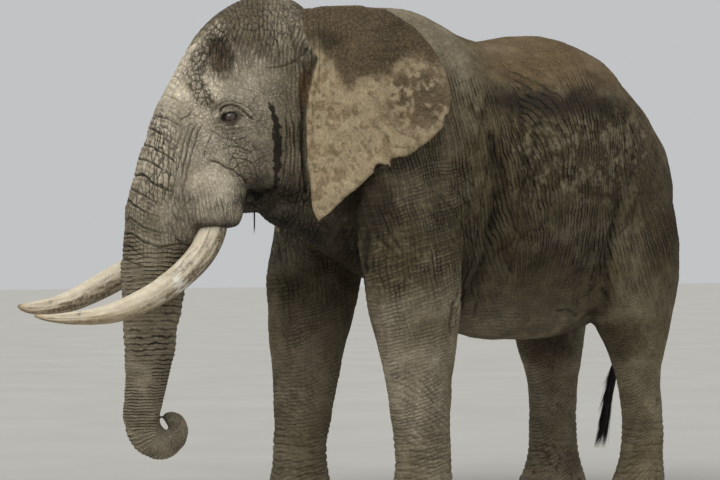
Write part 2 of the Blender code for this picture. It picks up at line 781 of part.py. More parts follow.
def main():
    for obj in list(bpy.data.objects):
        bpy.data.objects.remove(obj)
    body = flesh()
    eyes = {f"eye_{side}": eye(body, side) for side in SIDES}
    parts = pick(cut_up(body, cuts()), flesh_names())
    floor = Cut(Vector((0, 0, -GAP / 2)), UP, 3)
    rest = sum(len(part.data.polygons) for name, part in parts.items() if name != "head")
    for name, part in parts.items():
        own = HEAD_TRIANGLES / len(part.data.polygons) if name == "head" else BODY_TRIANGLES / rest
        level_caps(reduced(part, own), [*cuts(), floor])
    parts |= trunk()

    tusks = {f"tusk_{side}": tusk(side) for side in SIDES}
    for set_in in (*tusks.values(), *eyes.values()):
        fit(parts["head"], set_in)
    jaw = fit(lower_jaw(), parts["head"])
    for tooth in tusks.values():
        fit(jaw, tooth)
    ears = {f"ear_{side}": ear(side) for side in SIDES}
    for flap in ears.values():
        for around in ("head", "neck", "shoulders"):
            fit(flap, parts[around], "MANIFOLD")
    nails = {}
    for foot in ("front", "hind"):
        for side in SIDES:
            for nail in toenails(foot, side):
                fit(parts[f"{foot}_foot_{side}"], nail)
                nails[nail.name] = nail
    tail_parts = {"tail": fit(tail(), parts["rump"])}
    tuft = {"tail_tuft": fit(tail_tuft(), tail_parts["tail"])}

    home = bpy.data.collections.new("elephant")
    bpy.context.scene.collection.children.link(home)
    looks = [
        (SKIN, parts | {"lower_jaw": jaw} | tail_parts),
        (EAR_SKIN, ears),
        (IVORY, tusks),
        (EYEBALL, eyes),
        (HORN, nails),
        (HAIR, tuft),
    ]
    for look, group in looks:
        paint = material(*look)
        for name, obj in group.items():
            obj.name = name
            obj.data.materials.clear()
            obj.data.materials.append(paint)
            bpy.context.scene.collection.objects.unlink(obj)
            home.objects.link(obj)
    centred(list(home.objects))


main()
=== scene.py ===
"""Looks of the bull elephant: one wrinkled skin over the frame's flesh, with eyes, tusks, nails and hairs.

The shapes are worked out in the same modelling frame as the solids: the body faces -Y, its left side is +X.
The head has a frame of its own (forward, left, height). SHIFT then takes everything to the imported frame.
"""

import math
from typing import NamedTuple

import bmesh
import bpy
import numpy as np
from mathutils import Matrix, Vector


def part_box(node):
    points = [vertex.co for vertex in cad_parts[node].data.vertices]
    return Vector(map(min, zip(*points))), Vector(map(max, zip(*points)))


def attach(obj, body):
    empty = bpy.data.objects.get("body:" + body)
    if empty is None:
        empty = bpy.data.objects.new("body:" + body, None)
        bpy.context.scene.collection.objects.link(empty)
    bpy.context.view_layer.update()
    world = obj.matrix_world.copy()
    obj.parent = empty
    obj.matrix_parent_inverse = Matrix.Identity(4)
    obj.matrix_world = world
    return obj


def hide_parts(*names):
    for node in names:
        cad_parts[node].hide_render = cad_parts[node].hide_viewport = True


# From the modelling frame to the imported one, which has the middle of the object's box over its origin.
SHIFT = Vector((0.018314, 0.130403, 0.0))

# Stance and head, as in the solids.
HEAD_PIVOT = Vector((0.0, -0.55, 0.0))
HEAD_TURN = math.radians(15)
SIDES = {"left": 1, "right": -1}
FRONT_FOOT_Y = {"left": -0.12, "right": -0.52}
HIND_FOOT_Y = {"left": 1.81, "right": 1.61}
SHOULDER_Y = {"left": -0.26, "right": -0.35}
HIP_Y = 1.58
HIND_THICKNESS = {"left": 0.95, "right": 1.12}
EAR_SPREAD = {"left": math.radians(13), "right": math.radians(38)}
EAR_HINGE = (0.27, 0.42)  # forward and outwards
EAR_LENGTH = 0.88
EAR_THICKNESS = 0.026
EYE_RADIUS = 0.037
LID_OPENING = (0.050, 0.030, 0.026)  # half length, height above and below
CURL_MIDDLE = (1.112, 0.585)
CURL_REACH = 0.155  # the distance from its middle at which lines round it are as close as those above it

# The camera: how far round from straight ahead of the animal, how it is turned, and where it stands.
CAMERA_SIDE = math.radians(54)
CAMERA_YAW = math.radians(0.895174)
CAMERA_PITCH = math.radians(0.268572)
CAMERA_DISTANCE = 17
CAMERA_HEIGHT = 1.7

# How finely the skin is made: joined coarsely, then with the ears, then split again on the head.
VOXEL = 0.022
SMOOTHING = 16
FINE_VOXEL = 0.0115
SOLE_HEIGHT = 0.006  # flesh below this is pressed flat on the ground

# Attributes hold numbers from 0 to 1, so these are the ranges that line phases and heights are stored in.
PHASE_RANGE = 500
HEIGHT_RANGE = 4

X = Vector((1, 0, 0))
Y = Vector((0, 1, 0))
UP = Vector((0, 0, 1))
FORWARD = Vector((-math.sin(HEAD_TURN), -math.cos(HEAD_TURN), 0))
LEFT = Vector((math.cos(HEAD_TURN), -math.sin(HEAD_TURN), 0))

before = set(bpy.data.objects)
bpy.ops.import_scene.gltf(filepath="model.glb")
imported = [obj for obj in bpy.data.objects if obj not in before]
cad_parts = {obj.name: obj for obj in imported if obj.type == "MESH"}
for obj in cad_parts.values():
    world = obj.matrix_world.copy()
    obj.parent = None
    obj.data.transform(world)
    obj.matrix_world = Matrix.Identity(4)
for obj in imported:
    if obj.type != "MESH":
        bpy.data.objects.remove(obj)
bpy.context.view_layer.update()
EYE_AT = {side: sum(map(Vector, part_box(f"eye_{side}")), Vector()) / 2 - SHIFT for side in SIDES}
FLESH = [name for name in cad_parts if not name.startswith(("eye_", "tusk_", "toenail_", "tail_tuft"))]


def in_head(forward, left, height):
    """A point of the head's own frame, in world axes."""
    return HEAD_PIVOT + FORWARD * forward + LEFT * left + UP * height


def head_frame(places):
    """World places, in the last axis of a numpy array, as (forward, left, height) in the head's own frame."""
    to_head = np.array([FORWARD, LEFT, UP], np.float32)
    return (places - np.array(HEAD_PIVOT, np.float32)) @ to_head.T


# Basic solids.


class Ring(NamedTuple):
    """A cross-section of a limb: its centre, half sizes and outline.

    wide is the half size along the limb's side axis and deep the half size across it. square is 2 for an
    ellipse and more for a boxier outline. egg above 0 narrows the +deep side, and below 0 the other one.
    """

    centre: Vector
    wide: float
    deep: float
    square: float = 2.0
    egg: float = 0.0


class Swell(NamedTuple):
    """A place where the flesh swells by amount, or sinks if it is below 0, fading out at reach."""

    centre: Vector
    reach: Vector
    amount: float


def spline(before, start, end, after, share):
    """Catmull-Rom spline from start to end."""
    return (
        start
        + 0.5 * share * (end - before)
        + share**2 * (before - 2.5 * start + 2 * end - 0.5 * after)
        + share**3 * (1.5 * (start - end) + 0.5 * (after - before))
    )


def refined(rings, steps):
    """The rings with smooth ones added, steps to a span."""
    rows = [np.array([*r.centre, *r[1:]]) for r in rings]
    rows = [2 * rows[0] - rows[1], *rows, 2 * rows[-1] - rows[-2]]
    smooth = []
    for i in range(1, len(rows) - 2):
        smooth += [spline(*rows[i - 1 : i + 3], k / steps) for k in range(steps)]
    smooth.append(rows[-2])
    return [Ring(Vector(row[:3]), *row[3:]) for row in smooth]


def section(ring, along, side, count):
    """The points round a ring that faces along."""
    deep_axis = side.cross(along).normalized()
    side_axis = along.cross(deep_axis).normalized()
    points = []
    for i in range(count):
        angle = 2 * math.pi * i / count
        c, s = math.cos(angle), math.sin(angle)
        across = math.copysign(abs(c) ** (2 / ring.square), c)
        up = math.copysign(abs(s) ** (2 / ring.square), s)
        across *= 1 - ring.egg * up
        points.append(ring.centre + side_axis * across * ring.wide + deep_axis * up * ring.deep)
    return points


def new_object(name, bm):
    """An object in the scene that holds what was built in bm."""
    mesh = bpy.data.meshes.new(name)
    bm.to_mesh(mesh)
    bm.free()
    made = bpy.data.objects.new(name, mesh)
    bpy.context.scene.collection.objects.link(made)
    return made


def loft(name, rings, side, steps=4, count=32, facing=None):
    """A closed skin over the rings, with flat ends. Rings face along the limb, or all the way of facing."""
    rings = refined(rings, steps)
    bm = bmesh.new()
    loops = []
    for i, ring in enumerate(rings):
        along = facing or rings[min(i + 1, len(rings) - 1)].centre - rings[max(i - 1, 0)].centre
        loops.append([bm.verts.new(p) for p in section(ring, along.normalized(), side, count)])
    for near, far in zip(loops, loops[1:]):
        for k in range(count):
            after = (k + 1) % count
            bm.faces.new((near[k], near[after], far[after], far[k]))
    bm.faces.new(loops[0][::-1])
    bm.faces.new(loops[-1])
    bmesh.ops.recalc_face_normals(bm, faces=bm.faces)
    return new_object(name, bm)


def ellipsoid(name, centre, half_sizes, turn=Matrix(), segments=24):
    """A ball stretched to its half sizes, then turned."""
    bm = bmesh.new()
    bmesh.ops.create_uvsphere(bm, u_segments=segments, v_segments=segments * 2 // 3, radius=1)
    shape = Matrix.Translation(centre) @ turn @ Matrix.Diagonal((*half_sizes, 1))
    bmesh.ops.transform(bm, matrix=shape, verts=bm.verts)
    return new_object(name, bm)


def rings_in_head(rows, sign=1):
    """Rings from rows of forward, outwards, height, half width and half depth."""
    return [Ring(in_head(forward, out * sign, z), wide, deep) for forward, out, z, wide, deep in rows]


def places_of(mesh):
    """The vertices' places as rows of a numpy array."""
    places = np.empty(3 * len(mesh.vertices), np.float32)
    mesh.vertices.foreach_get("co", places)
    return places.reshape(-1, 3)


def move_to(mesh, places):
    """Moves the vertices to these places."""
    mesh.vertices.foreach_set("co", places.ravel())


def normals_of(mesh):
    """The vertices' normals as rows of a numpy array."""
    normals = np.empty(3 * len(mesh.vertices), np.float32)
    mesh.vertex_normals.foreach_get("vector", normals)
    return normals.reshape(-1, 3)


def joined(name, objects):
    """One object that holds the meshes of all the others, which it removes."""
    bm = bmesh.new()
    for obj in objects:
        bm.from_mesh(obj.data)
        bpy.data.objects.remove(obj)
    return new_object(name, bm)


def modifier(obj, kind, **settings):
    """Adds a modifier with these settings and turns it into the object's mesh."""
    made = obj.modifiers.new(kind.lower(), kind)
    for key, value in settings.items():
        setattr(made, key, value)
    bpy.context.view_layer.update()
    graph = bpy.context.evaluated_depsgraph_get()
    mesh = bpy.data.meshes.new_from_object(obj.evaluated_get(graph))
    obj.modifiers.clear()
    obj.data = mesh
    return obj


# The limbs and masses that the flesh is joined from.


def torso():
    """Barrel of the body from the chest to the rump."""
    # y, top, bottom, half width, squareness, narrowing of the top
    table = [
        (-0.84, 2.62, 2.00, 0.20, 2.0, 0.05),
        (-0.72, 2.95, 1.80, 0.36, 2.1, 0.10),
        (-0.45, 3.22, 1.62, 0.50, 2.2, 0.16),
        (-0.15, 3.31, 1.47, 0.60, 2.2, 0.20),
        (0.08, 3.26, 1.36, 0.66, 2.2, 0.22),
        (0.32, 3.165, 1.22, 0.71, 2.1, 0.20),
        (0.60, 3.12, 1.12, 0.76, 2.1, 0.18),
        (0.95, 3.185, 1.09, 0.78, 2.1, 0.20),
        (1.28, 3.145, 1.11, 0.74, 2.1, 0.24),
        (1.58, 2.97, 1.20, 0.65, 2.1, 0.24),
        (1.88, 2.735, 1.36, 0.52, 2.0, 0.20),
        (2.10, 2.52, 1.56, 0.36, 2.0, 0.10),
        (2.20, 2.32, 1.80, 0.20, 2.0, 0.0),
    ]
    rings = [
        Ring(Vector((0, y, (top + bottom) / 2)), wide, (top - bottom) / 2, square, egg)
        for y, top, bottom, wide, square, egg in table
    ]
    return loft("torso_loft", rings, X, count=48, facing=-Y)


def neck():
    """The short thick neck, from between the shoulders to the back of the head."""
    rings = [
        Ring(Vector((0, -0.30, 2.42)), 0.50, 0.80, 2.1, 0.2),
        Ring(Vector((-0.02, -0.60, 2.52)), 0.41, 0.73, 2.1, 0.2),
        Ring(in_head(0.20, 0, 2.60), 0.35, 0.66, 2.1, 0.1),
        Ring(in_head(0.42, 0, 2.62), 0.29, 0.54, 2.1, 0.0),
    ]
    return loft("neck_loft", rings, X)


def skull():
    """Head and root of the trunk, as level sections from the crown down."""
    # height, front, back, half width, squareness, narrowing of the back
    table = [
        (3.36, 0.50, 0.36, 0.06, 2.0, 0.0),
        (3.31, 0.65, 0.24, 0.17, 2.0, 0.0),
        (3.21, 0.80, 0.14, 0.26, 2.1, 0.0),
        (3.08, 0.92, 0.05, 0.33, 2.2, 0.0),
        (2.92, 1.015, 0.02, 0.365, 2.2, -0.05),
        (2.70, 1.135, 0.02, 0.375, 2.2, -0.14),
        (2.55, 1.21, 0.04, 0.375, 2.1, -0.22),
        (2.40, 1.262, 0.10, 0.365, 2.1, -0.27),
        (2.24, 1.312, 0.26, 0.34, 2.1, -0.25),
        (2.14, 1.34, 0.40, 0.315, 2.1, -0.20),
        (2.05, 1.36, 0.64, 0.28, 2.1, -0.14),
        (1.95, 1.378, 0.87, 0.26, 2.1, -0.08),
        (1.82, 1.392, 0.95, 0.235, 2.1, -0.04),
        (1.69, 1.402, 0.985, 0.214, 2.0, 0.0),
        (1.53, 1.409, 1.00, 0.203, 2.0, 0.0),
        (1.40, 1.409, 1.01, 0.195, 2.0, 0.0),
    ]
    rings = [
        Ring(in_head((front + back) / 2, 0, height), wide, (front - back) / 2, square, egg)
        for height, front, back, wide, square, egg in table
    ]
    return loft("skull_loft", rings, LEFT, count=40, facing=-UP)


def throat():
    """The bag of skin below the jaw muscles."""
    rows = [
        (0.16, 0, 2.32, 0.30, 0.30),
        (0.30, 0, 2.21, 0.27, 0.29),
        (0.40, 0, 2.22, 0.23, 0.24),
        (0.50, 0, 2.27, 0.17, 0.15),
    ]
    return loft("throat_loft", rings_in_head(rows), LEFT)


def tusk_sheath(side):
    """The bulge of the upper jaw that a tusk grows from."""
    rows = [
        (0.93, 0.14, 2.66, 0.06, 0.08),
        (0.94, 0.19, 2.42, 0.115, 0.17),
        (0.91, 0.225, 2.22, 0.135, 0.215),
        (0.885, 0.245, 2.05, 0.140, 0.215),
        (0.87, 0.25, 1.93, 0.136, 0.185),
        (0.87, 0.25, 1.85, 0.120, 0.155),
    ]
    return loft(f"sheath_loft_{side}", rings_in_head(rows, SIDES[side]), LEFT, facing=-UP)


def face_masses(side):
    """Cheekbone, jaw muscle, brow, ear base, hood and lip of one side."""
    turn = Matrix.Rotation(-HEAD_TURN, 4, "Z")
    lean = turn @ Matrix.Rotation(math.radians(12), 4, "X")
    masses = [
        ("cheekbone", (0.60, 0.275, 2.46), (0.115, 0.30, 0.20), lean),
        ("jaw_muscle", (0.42, 0.24, 2.30), (0.12, 0.20, 0.25), turn),
        ("brow", (0.80, 0.235, 2.66), (0.118, 0.19, 0.11), turn),
        ("ear_base", (0.20, 0.27, 2.82), (0.14, 0.15, 0.36), turn),
        ("hood", (0.30, 0.27, 3.06), (0.13, 0.17, 0.15), turn),
        ("lip", (1.03, 0.175, 1.88), (0.085, 0.11, 0.17), turn),
    ]
    return [
        ellipsoid(f"{name}_{side}", in_head(forward, out * SIDES[side], z), half_sizes, turned)
        for name, (forward, out, z), half_sizes, turned in masses
    ]


def leg(name, side, table, top_y, foot_y, thick=1.0):
    """A leg from its rows of height, share of the way to the foot, x, half width and half depth."""
    rings = []
    for z, share, x, wide, deep in table:
        swell = thick if z < 1.15 else 1.0
        centre = Vector((SIDES[side] * x, top_y + (foot_y - top_y) * share, z))
        rings.append(Ring(centre, wide * swell, deep * swell, 2.15))
    return loft(f"{name}_{side}", rings, X, facing=-UP)


def front_leg(side):
    """A front leg from the shoulder blade down to the sole."""
    table = [
        (2.70, 0.0, 0.34, 0.12, 0.20),
        (2.25, 0.0, 0.42, 0.19, 0.35),
        (1.85, 0.0, 0.455, 0.225, 0.38),
        (1.42, 0.24, 0.46, 0.235, 0.335),
        (1.07, 0.5, 0.45, 0.213, 0.268),
        (0.86, 0.66, 0.44, 0.192, 0.226),
        (0.62, 0.8, 0.43, 0.178, 0.200),
        (0.42, 0.95, 0.42, 0.168, 0.182),
        (0.26, 1.0, 0.42, 0.174, 0.188),
        (0.13, 1.02, 0.42, 0.200, 0.218),
        (0.05, 1.05, 0.42, 0.215, 0.235),
        (0.0, 1.05, 0.42, 0.208, 0.228),
    ]
    return leg("front_leg", side, table, SHOULDER_Y[side], FRONT_FOOT_Y[side])


def hind_leg(side):
    """A hind leg from the hip down to the sole."""
    table = [
        (2.48, 0.0, 0.26, 0.16, 0.24),
        (2.20, 0.0, 0.34, 0.25, 0.39),
        (1.80, 0.0, 0.395, 0.28, 0.455),
        (1.45, 0.28, 0.40, 0.25, 0.405),
        (1.20, 0.5, 0.39, 0.215, 0.29),
        (1.00, 0.7, 0.38, 0.180, 0.215),
        (0.80, 0.86, 0.37, 0.152, 0.165),
        (0.55, 1.0, 0.365, 0.144, 0.155),
        (0.30, 0.98, 0.36, 0.150, 0.164),
        (0.13, 0.88, 0.36, 0.170, 0.208),
        (0.05, 0.80, 0.36, 0.180, 0.232),
        (0.0, 0.80, 0.36, 0.172, 0.224),
    ]
    return leg("hind_leg", side, table, HIP_Y, HIND_FOOT_Y[side], HIND_THICKNESS[side])


def swells():
    """Muscles and bones that stand out under the skin, and the hollows between them."""
    found = []
    for sign in SIDES.values():
        found += [
            Swell(Vector((0.50 * sign, -0.28, 2.55)), Vector((0.5, 0.30, 0.42)), 0.030),
            Swell(Vector((0.68 * sign, -0.28, 1.75)), Vector((0.4, 0.36, 0.32)), 0.030),
            Swell(Vector((0.66 * sign, 0.28, 2.15)), Vector((0.4, 0.14, 0.70)), -0.032),
            Swell(Vector((0.62 * sign, 1.72, 1.95)), Vector((0.4, 0.40, 0.45)), 0.040),
            Swell(Vector((0.62 * sign, 1.12, 1.45)), Vector((0.4, 0.16, 0.40)), -0.030),
            Swell(Vector((0.40 * sign, 1.30, 2.90)), Vector((0.3, 0.24, 0.24)), 0.030),
            Swell(in_head(0.62, 0.34 * sign, 2.86), Vector((0.28, 0.28, 0.20)), -0.025),
            Swell(in_head(0.82, 0.36 * sign, 2.42), Vector((0.18, 0.18, 0.12)), -0.012),
        ]
    hollow_chest = Swell(Vector((-0.40, -0.74, 1.88)), Vector((0.50, 0.50, 0.42)), -0.065)
    full_throat = Swell(in_head(0.38, 0, 1.96), Vector((0.26, 0.26, 0.20)), 0.050)
    return [*found, hollow_chest, full_throat]


def shape(body):
    """Raises and sinks the flesh where swells() says, and flattens the soles."""
    mesh = body.data
    places = places_of(mesh).astype(float)
    push = np.zeros(len(places))
    for centre, reach, amount in swells():
        far = np.linalg.norm((places - np.array(centre)) / np.array(reach), axis=1)
        push += amount * np.clip(1 - far**2, 0, 1) ** 2
    places += normals_of(mesh) * push[:, None]
    places[:, 2] = np.where(places[:, 2] < SOLE_HEIGHT, 0.0, places[:, 2])
    move_to(mesh, places)


def flesh():
    """Head, trunk root, body and legs as one closed skin."""
    pieces = [torso(), neck(), skull(), throat()]
    for side in SIDES:
        pieces += [front_leg(side), hind_leg(side), tusk_sheath(side), *face_masses(side)]
    body = joined("flesh", pieces)
    modifier(body, "REMESH", mode="VOXEL", voxel_size=VOXEL)
    modifier(body, "SMOOTH", factor=0.5, iterations=SMOOTHING)
    shape(body)
    return modifier(body, "SUBSURF", levels=1, render_levels=1)


# Trunk, jaw, ears and tail, which join the flesh.


def trunk_rings():
    """The trunk from below the tusks to the end of its curled tip."""
    stem = [
        (1.205, 0, 1.64, 0.210, 0.209),
        (1.205, 0, 1.53, 0.203, 0.204),
        (1.21, 0, 1.40, 0.194, 0.194),
        (1.22, 0, 1.25, 0.178, 0.177),
        (1.225, 0, 1.12, 0.163, 0.162),
        (1.24, 0, 0.96, 0.148, 0.146),
        (1.26, 0, 0.81, 0.132, 0.131),
        (1.278, 0, 0.68, 0.119, 0.119),
    ]
    # turn round the curl's middle in degrees, distance from it, half thickness
    curl = [
        (0, 0.153, 0.114),
        (34, 0.128, 0.112),
        (78, 0.108, 0.097),
        (117, 0.092, 0.081),
        (148, 0.077, 0.068),
        (175, 0.070, 0.062),
        (212, 0.063, 0.054),
        (250, 0.059, 0.046),
        (273, 0.065, 0.037),
        (292, 0.076, 0.020),
    ]
    tip = [Ring(in_curl(degrees, reach), thick, thick) for degrees, reach, thick in curl]
    return rings_in_head(stem) + tip


def in_curl(degrees, reach):
    """A point of the trunk tip's curl, which turns down and back from in front of its middle."""
    turn = math.radians(degrees)
    return in_head(CURL_MIDDLE[0] + reach * math.cos(turn), 0, CURL_MIDDLE[1] - reach * math.sin(turn))


def lower_jaw():
    """The narrow jaw, from below the ears to the pointed lip."""
    rows = [
        (0.38, 0, 2.13, 0.21, 0.17),
        (0.54, 0, 2.10, 0.195, 0.15),
        (0.67, 0, 2.06, 0.15, 0.12),
        (0.78, 0, 2.02, 0.09, 0.085),
        (0.86, 0, 1.98, 0.035, 0.035),
    ]
    return loft("lower_jaw", rings_in_head(rows), LEFT)


def ear_bow(back, height):
    """How far an ear's sheet bows outwards, at a distance back from its hinge and a height."""
    bow = 0.05 * np.sin(math.pi * np.clip(back / EAR_LENGTH, 0, 1))
    return bow - 0.9 * np.maximum(0, height - 3.0) * np.maximum(0, 0.35 - back)


def ear(side):
    """A thin, bowed ear. Its outline is in distance back from the hinge and height."""
    outline = [
        (-0.06, 3.245), (0.10, 3.262), (0.27, 3.262), (0.44, 3.235), (0.55, 3.19), (0.64, 3.13), (0.73, 3.03),
        (0.81, 2.91), (0.87, 2.76), (0.883, 2.62), (0.872, 2.575), (0.846, 2.565), (0.84, 2.49),
        (0.735, 2.413), (0.66, 2.35), (0.60, 2.311), (0.54, 2.304), (0.480, 2.291), (0.478, 2.232),
        (0.435, 2.262), (0.38, 2.250), (0.375, 2.195), (0.271, 2.10), (0.194, 2.042), (0.105, 1.941),
        (0.028, 1.884), (0.003, 1.966), (-0.004, 2.092), (-0.030, 2.30), (-0.036, 2.50), (-0.03, 2.75),
        (-0.04, 3.0),
    ]  # fmt: skip
    bm = bmesh.new()
    bm.faces.new([bm.verts.new((u, 0, z)) for u, z in outline])
    for axis, marks in ((X, np.arange(-0.02, 0.88, 0.04)), (UP, np.arange(1.9, 3.26, 0.05))):
        for mark in marks:
            geometry = bm.verts[:] + bm.edges[:] + bm.faces[:]
            bmesh.ops.bisect_plane(bm, geom=geometry, plane_co=axis * mark, plane_no=axis)
    sign, spread = SIDES[side], EAR_SPREAD[side]
    for vert in bm.verts:
        u, z = vert.co.x, vert.co.z
        bow = ear_bow(u, z)
        back = math.cos(spread) * u - math.sin(spread) * bow
        out = math.sin(spread) * u + math.cos(spread) * bow
        vert.co = in_head(EAR_HINGE[0] - back, (EAR_HINGE[1] + out) * sign, z)
    flap = modifier(new_object(f"ear_{side}", bm), "SOLIDIFY", thickness=EAR_THICKNESS, offset=0)
    bm = bmesh.new()
    bm.from_mesh(flap.data)
    bmesh.ops.recalc_face_normals(bm, faces=bm.faces)
    bm.to_mesh(flap.data)
    bm.free()
    return flap


def tail():
    """The tail without its tuft."""
    # x, y, z, radius
    stations = [
        (0.0, 1.98, 2.60, 0.085),
        (0.0, 2.13, 2.50, 0.080),
        (-0.01, 2.225, 2.32, 0.064),
        (-0.04, 2.27, 2.05, 0.050),
        (-0.10, 2.275, 1.72, 0.038),
        (-0.18, 2.25, 1.38, 0.030),
        (-0.25, 2.20, 1.10, 0.025),
        (-0.30, 2.16, 0.93, 0.023),
    ]
    rings = [Ring(Vector(place), radius, radius * 0.85) for *place, radius in stations]
    return loft("tail", rings, X, steps=6, count=16)


# The skin before its folds.


def rough_skin():
    """Flesh, trunk, jaw, ears and tail as one closed skin, before its folds."""
    trunk = loft("trunk_loft", trunk_rings(), LEFT, steps=6, count=40)
    skin = joined("skin", [flesh(), trunk, lower_jaw(), tail(), *(ear(side) for side in SIDES)])
    modifier(skin, "REMESH", mode="VOXEL", voxel_size=FINE_VOXEL)
    modifier(skin, "SMOOTH", factor=0.5, iterations=4)
    return skin


# Noise, for skin that never repeats.


def hashed(x, y, z, seed):
    """Whole random numbers, one for each whole (x, y, z)."""
    mixed = x * np.uint32(0x8DA6B343) ^ y * np.uint32(0xD8163841) ^ z * np.uint32(0xCB1AB31F)
    mixed ^= np.uint32(seed * 7919 + 17)
    for shift, factor in ((15, 0x2C1B3C6D), (12, 0x297A2D39)):
        mixed ^= mixed >> np.uint32(shift)
        mixed *= np.uint32(factor)
    return mixed ^ mixed >> np.uint32(15)


def grid(points):
    """The unit cube that each point is in, as three columns, and its place in that cube."""
    low = np.floor(points)
    return low.astype(np.int32).astype(np.uint32).T.copy(), (points - low).astype(np.float32)


def noise(points, seed, octaves=1):
    """Smooth noise of about -1 to 1 with bumps one unit apart. Each seed gives another noise."""
    total = np.zeros(len(points), np.float32)
    for octave in range(octaves):
        (x, y, z), part = grid(points * 2**octave)
        part = part * part * (3 - 2 * part)
        for corner in range(8):
            bits = [corner >> axis & 1 for axis in range(3)]
            weight = np.float32(2 / 2**octave)
            for axis, bit in enumerate(bits):
                weight = weight * (part[:, axis] if bit else 1 - part[:, axis])
            number = hashed(*(c + np.uint32(b) for c, b in zip((x, y, z), bits)), seed + octave)
            total += weight * (number.astype(np.float32) * np.float32(2**-32) - np.float32(0.5))
    return total


def cracks(points, seed, width):
    """1 on the borders between random cells one unit across, falling to 0 within width."""
    (x, y, z), part = grid(points)
    nearest = np.full(len(points), 9, np.float32)
    second = nearest.copy()
    for i in (-1, 0, 1):
        for j in (-1, 0, 1):
            for k in (-1, 0, 1):
                step = (i, j, k)
                number = hashed(*(c + np.uint32(s % 2**32) for c, s in zip((x, y, z), step)), seed)
                away = np.zeros(len(points), np.float32)
                for axis in range(3):
                    jitter = (number >> np.uint32(10 * axis) & np.uint32(1023)).astype(np.float32) / 1023
                    away += (step[axis] + jitter - part[:, axis]) ** 2
                second = np.minimum(second, np.maximum(away, nearest))
                nearest = np.minimum(nearest, away)
    return np.clip(1 - (np.sqrt(second) - np.sqrt(nearest)) / width, 0, 1)


def ramp(values, start, end):
    """0 before start, 1 after end, and smooth between. start may be the larger one."""
    share = np.clip((values - start) / (end - start), 0, 1)
    return share * share * (3 - 2 * share)


def groove(away, width):
    """A furrow's depth from 0 to 1, with a low lip on each side."""
    away = np.abs(away) / width
    return np.exp(-(away**2)) - 0.22 * np.exp(-((away - 2.1) ** 2))


def to_polyline(points, path):
    """Distance from each 2-D point to a path, and how far along the path that is, from 0 to 1."""
    best = np.full(len(points), 1e9, np.float32)
    along = np.zeros(len(points), np.float32)
    path = np.array(path, np.float32)
    for i, (start, end) in enumerate(zip(path, path[1:])):
        line = end - start
        share = np.clip((points - start) @ line / (line @ line), 0, 1)
        away = np.linalg.norm(points - start - share[:, None] * line, axis=1)
        closer = away < best
        best[closer] = away[closer]
        along[closer] = (i + share[closer]) / (len(path) - 1)
    return best, along


# Furrows that are placed one by one: width, depth and a path. Those of the face are in (forward, height).

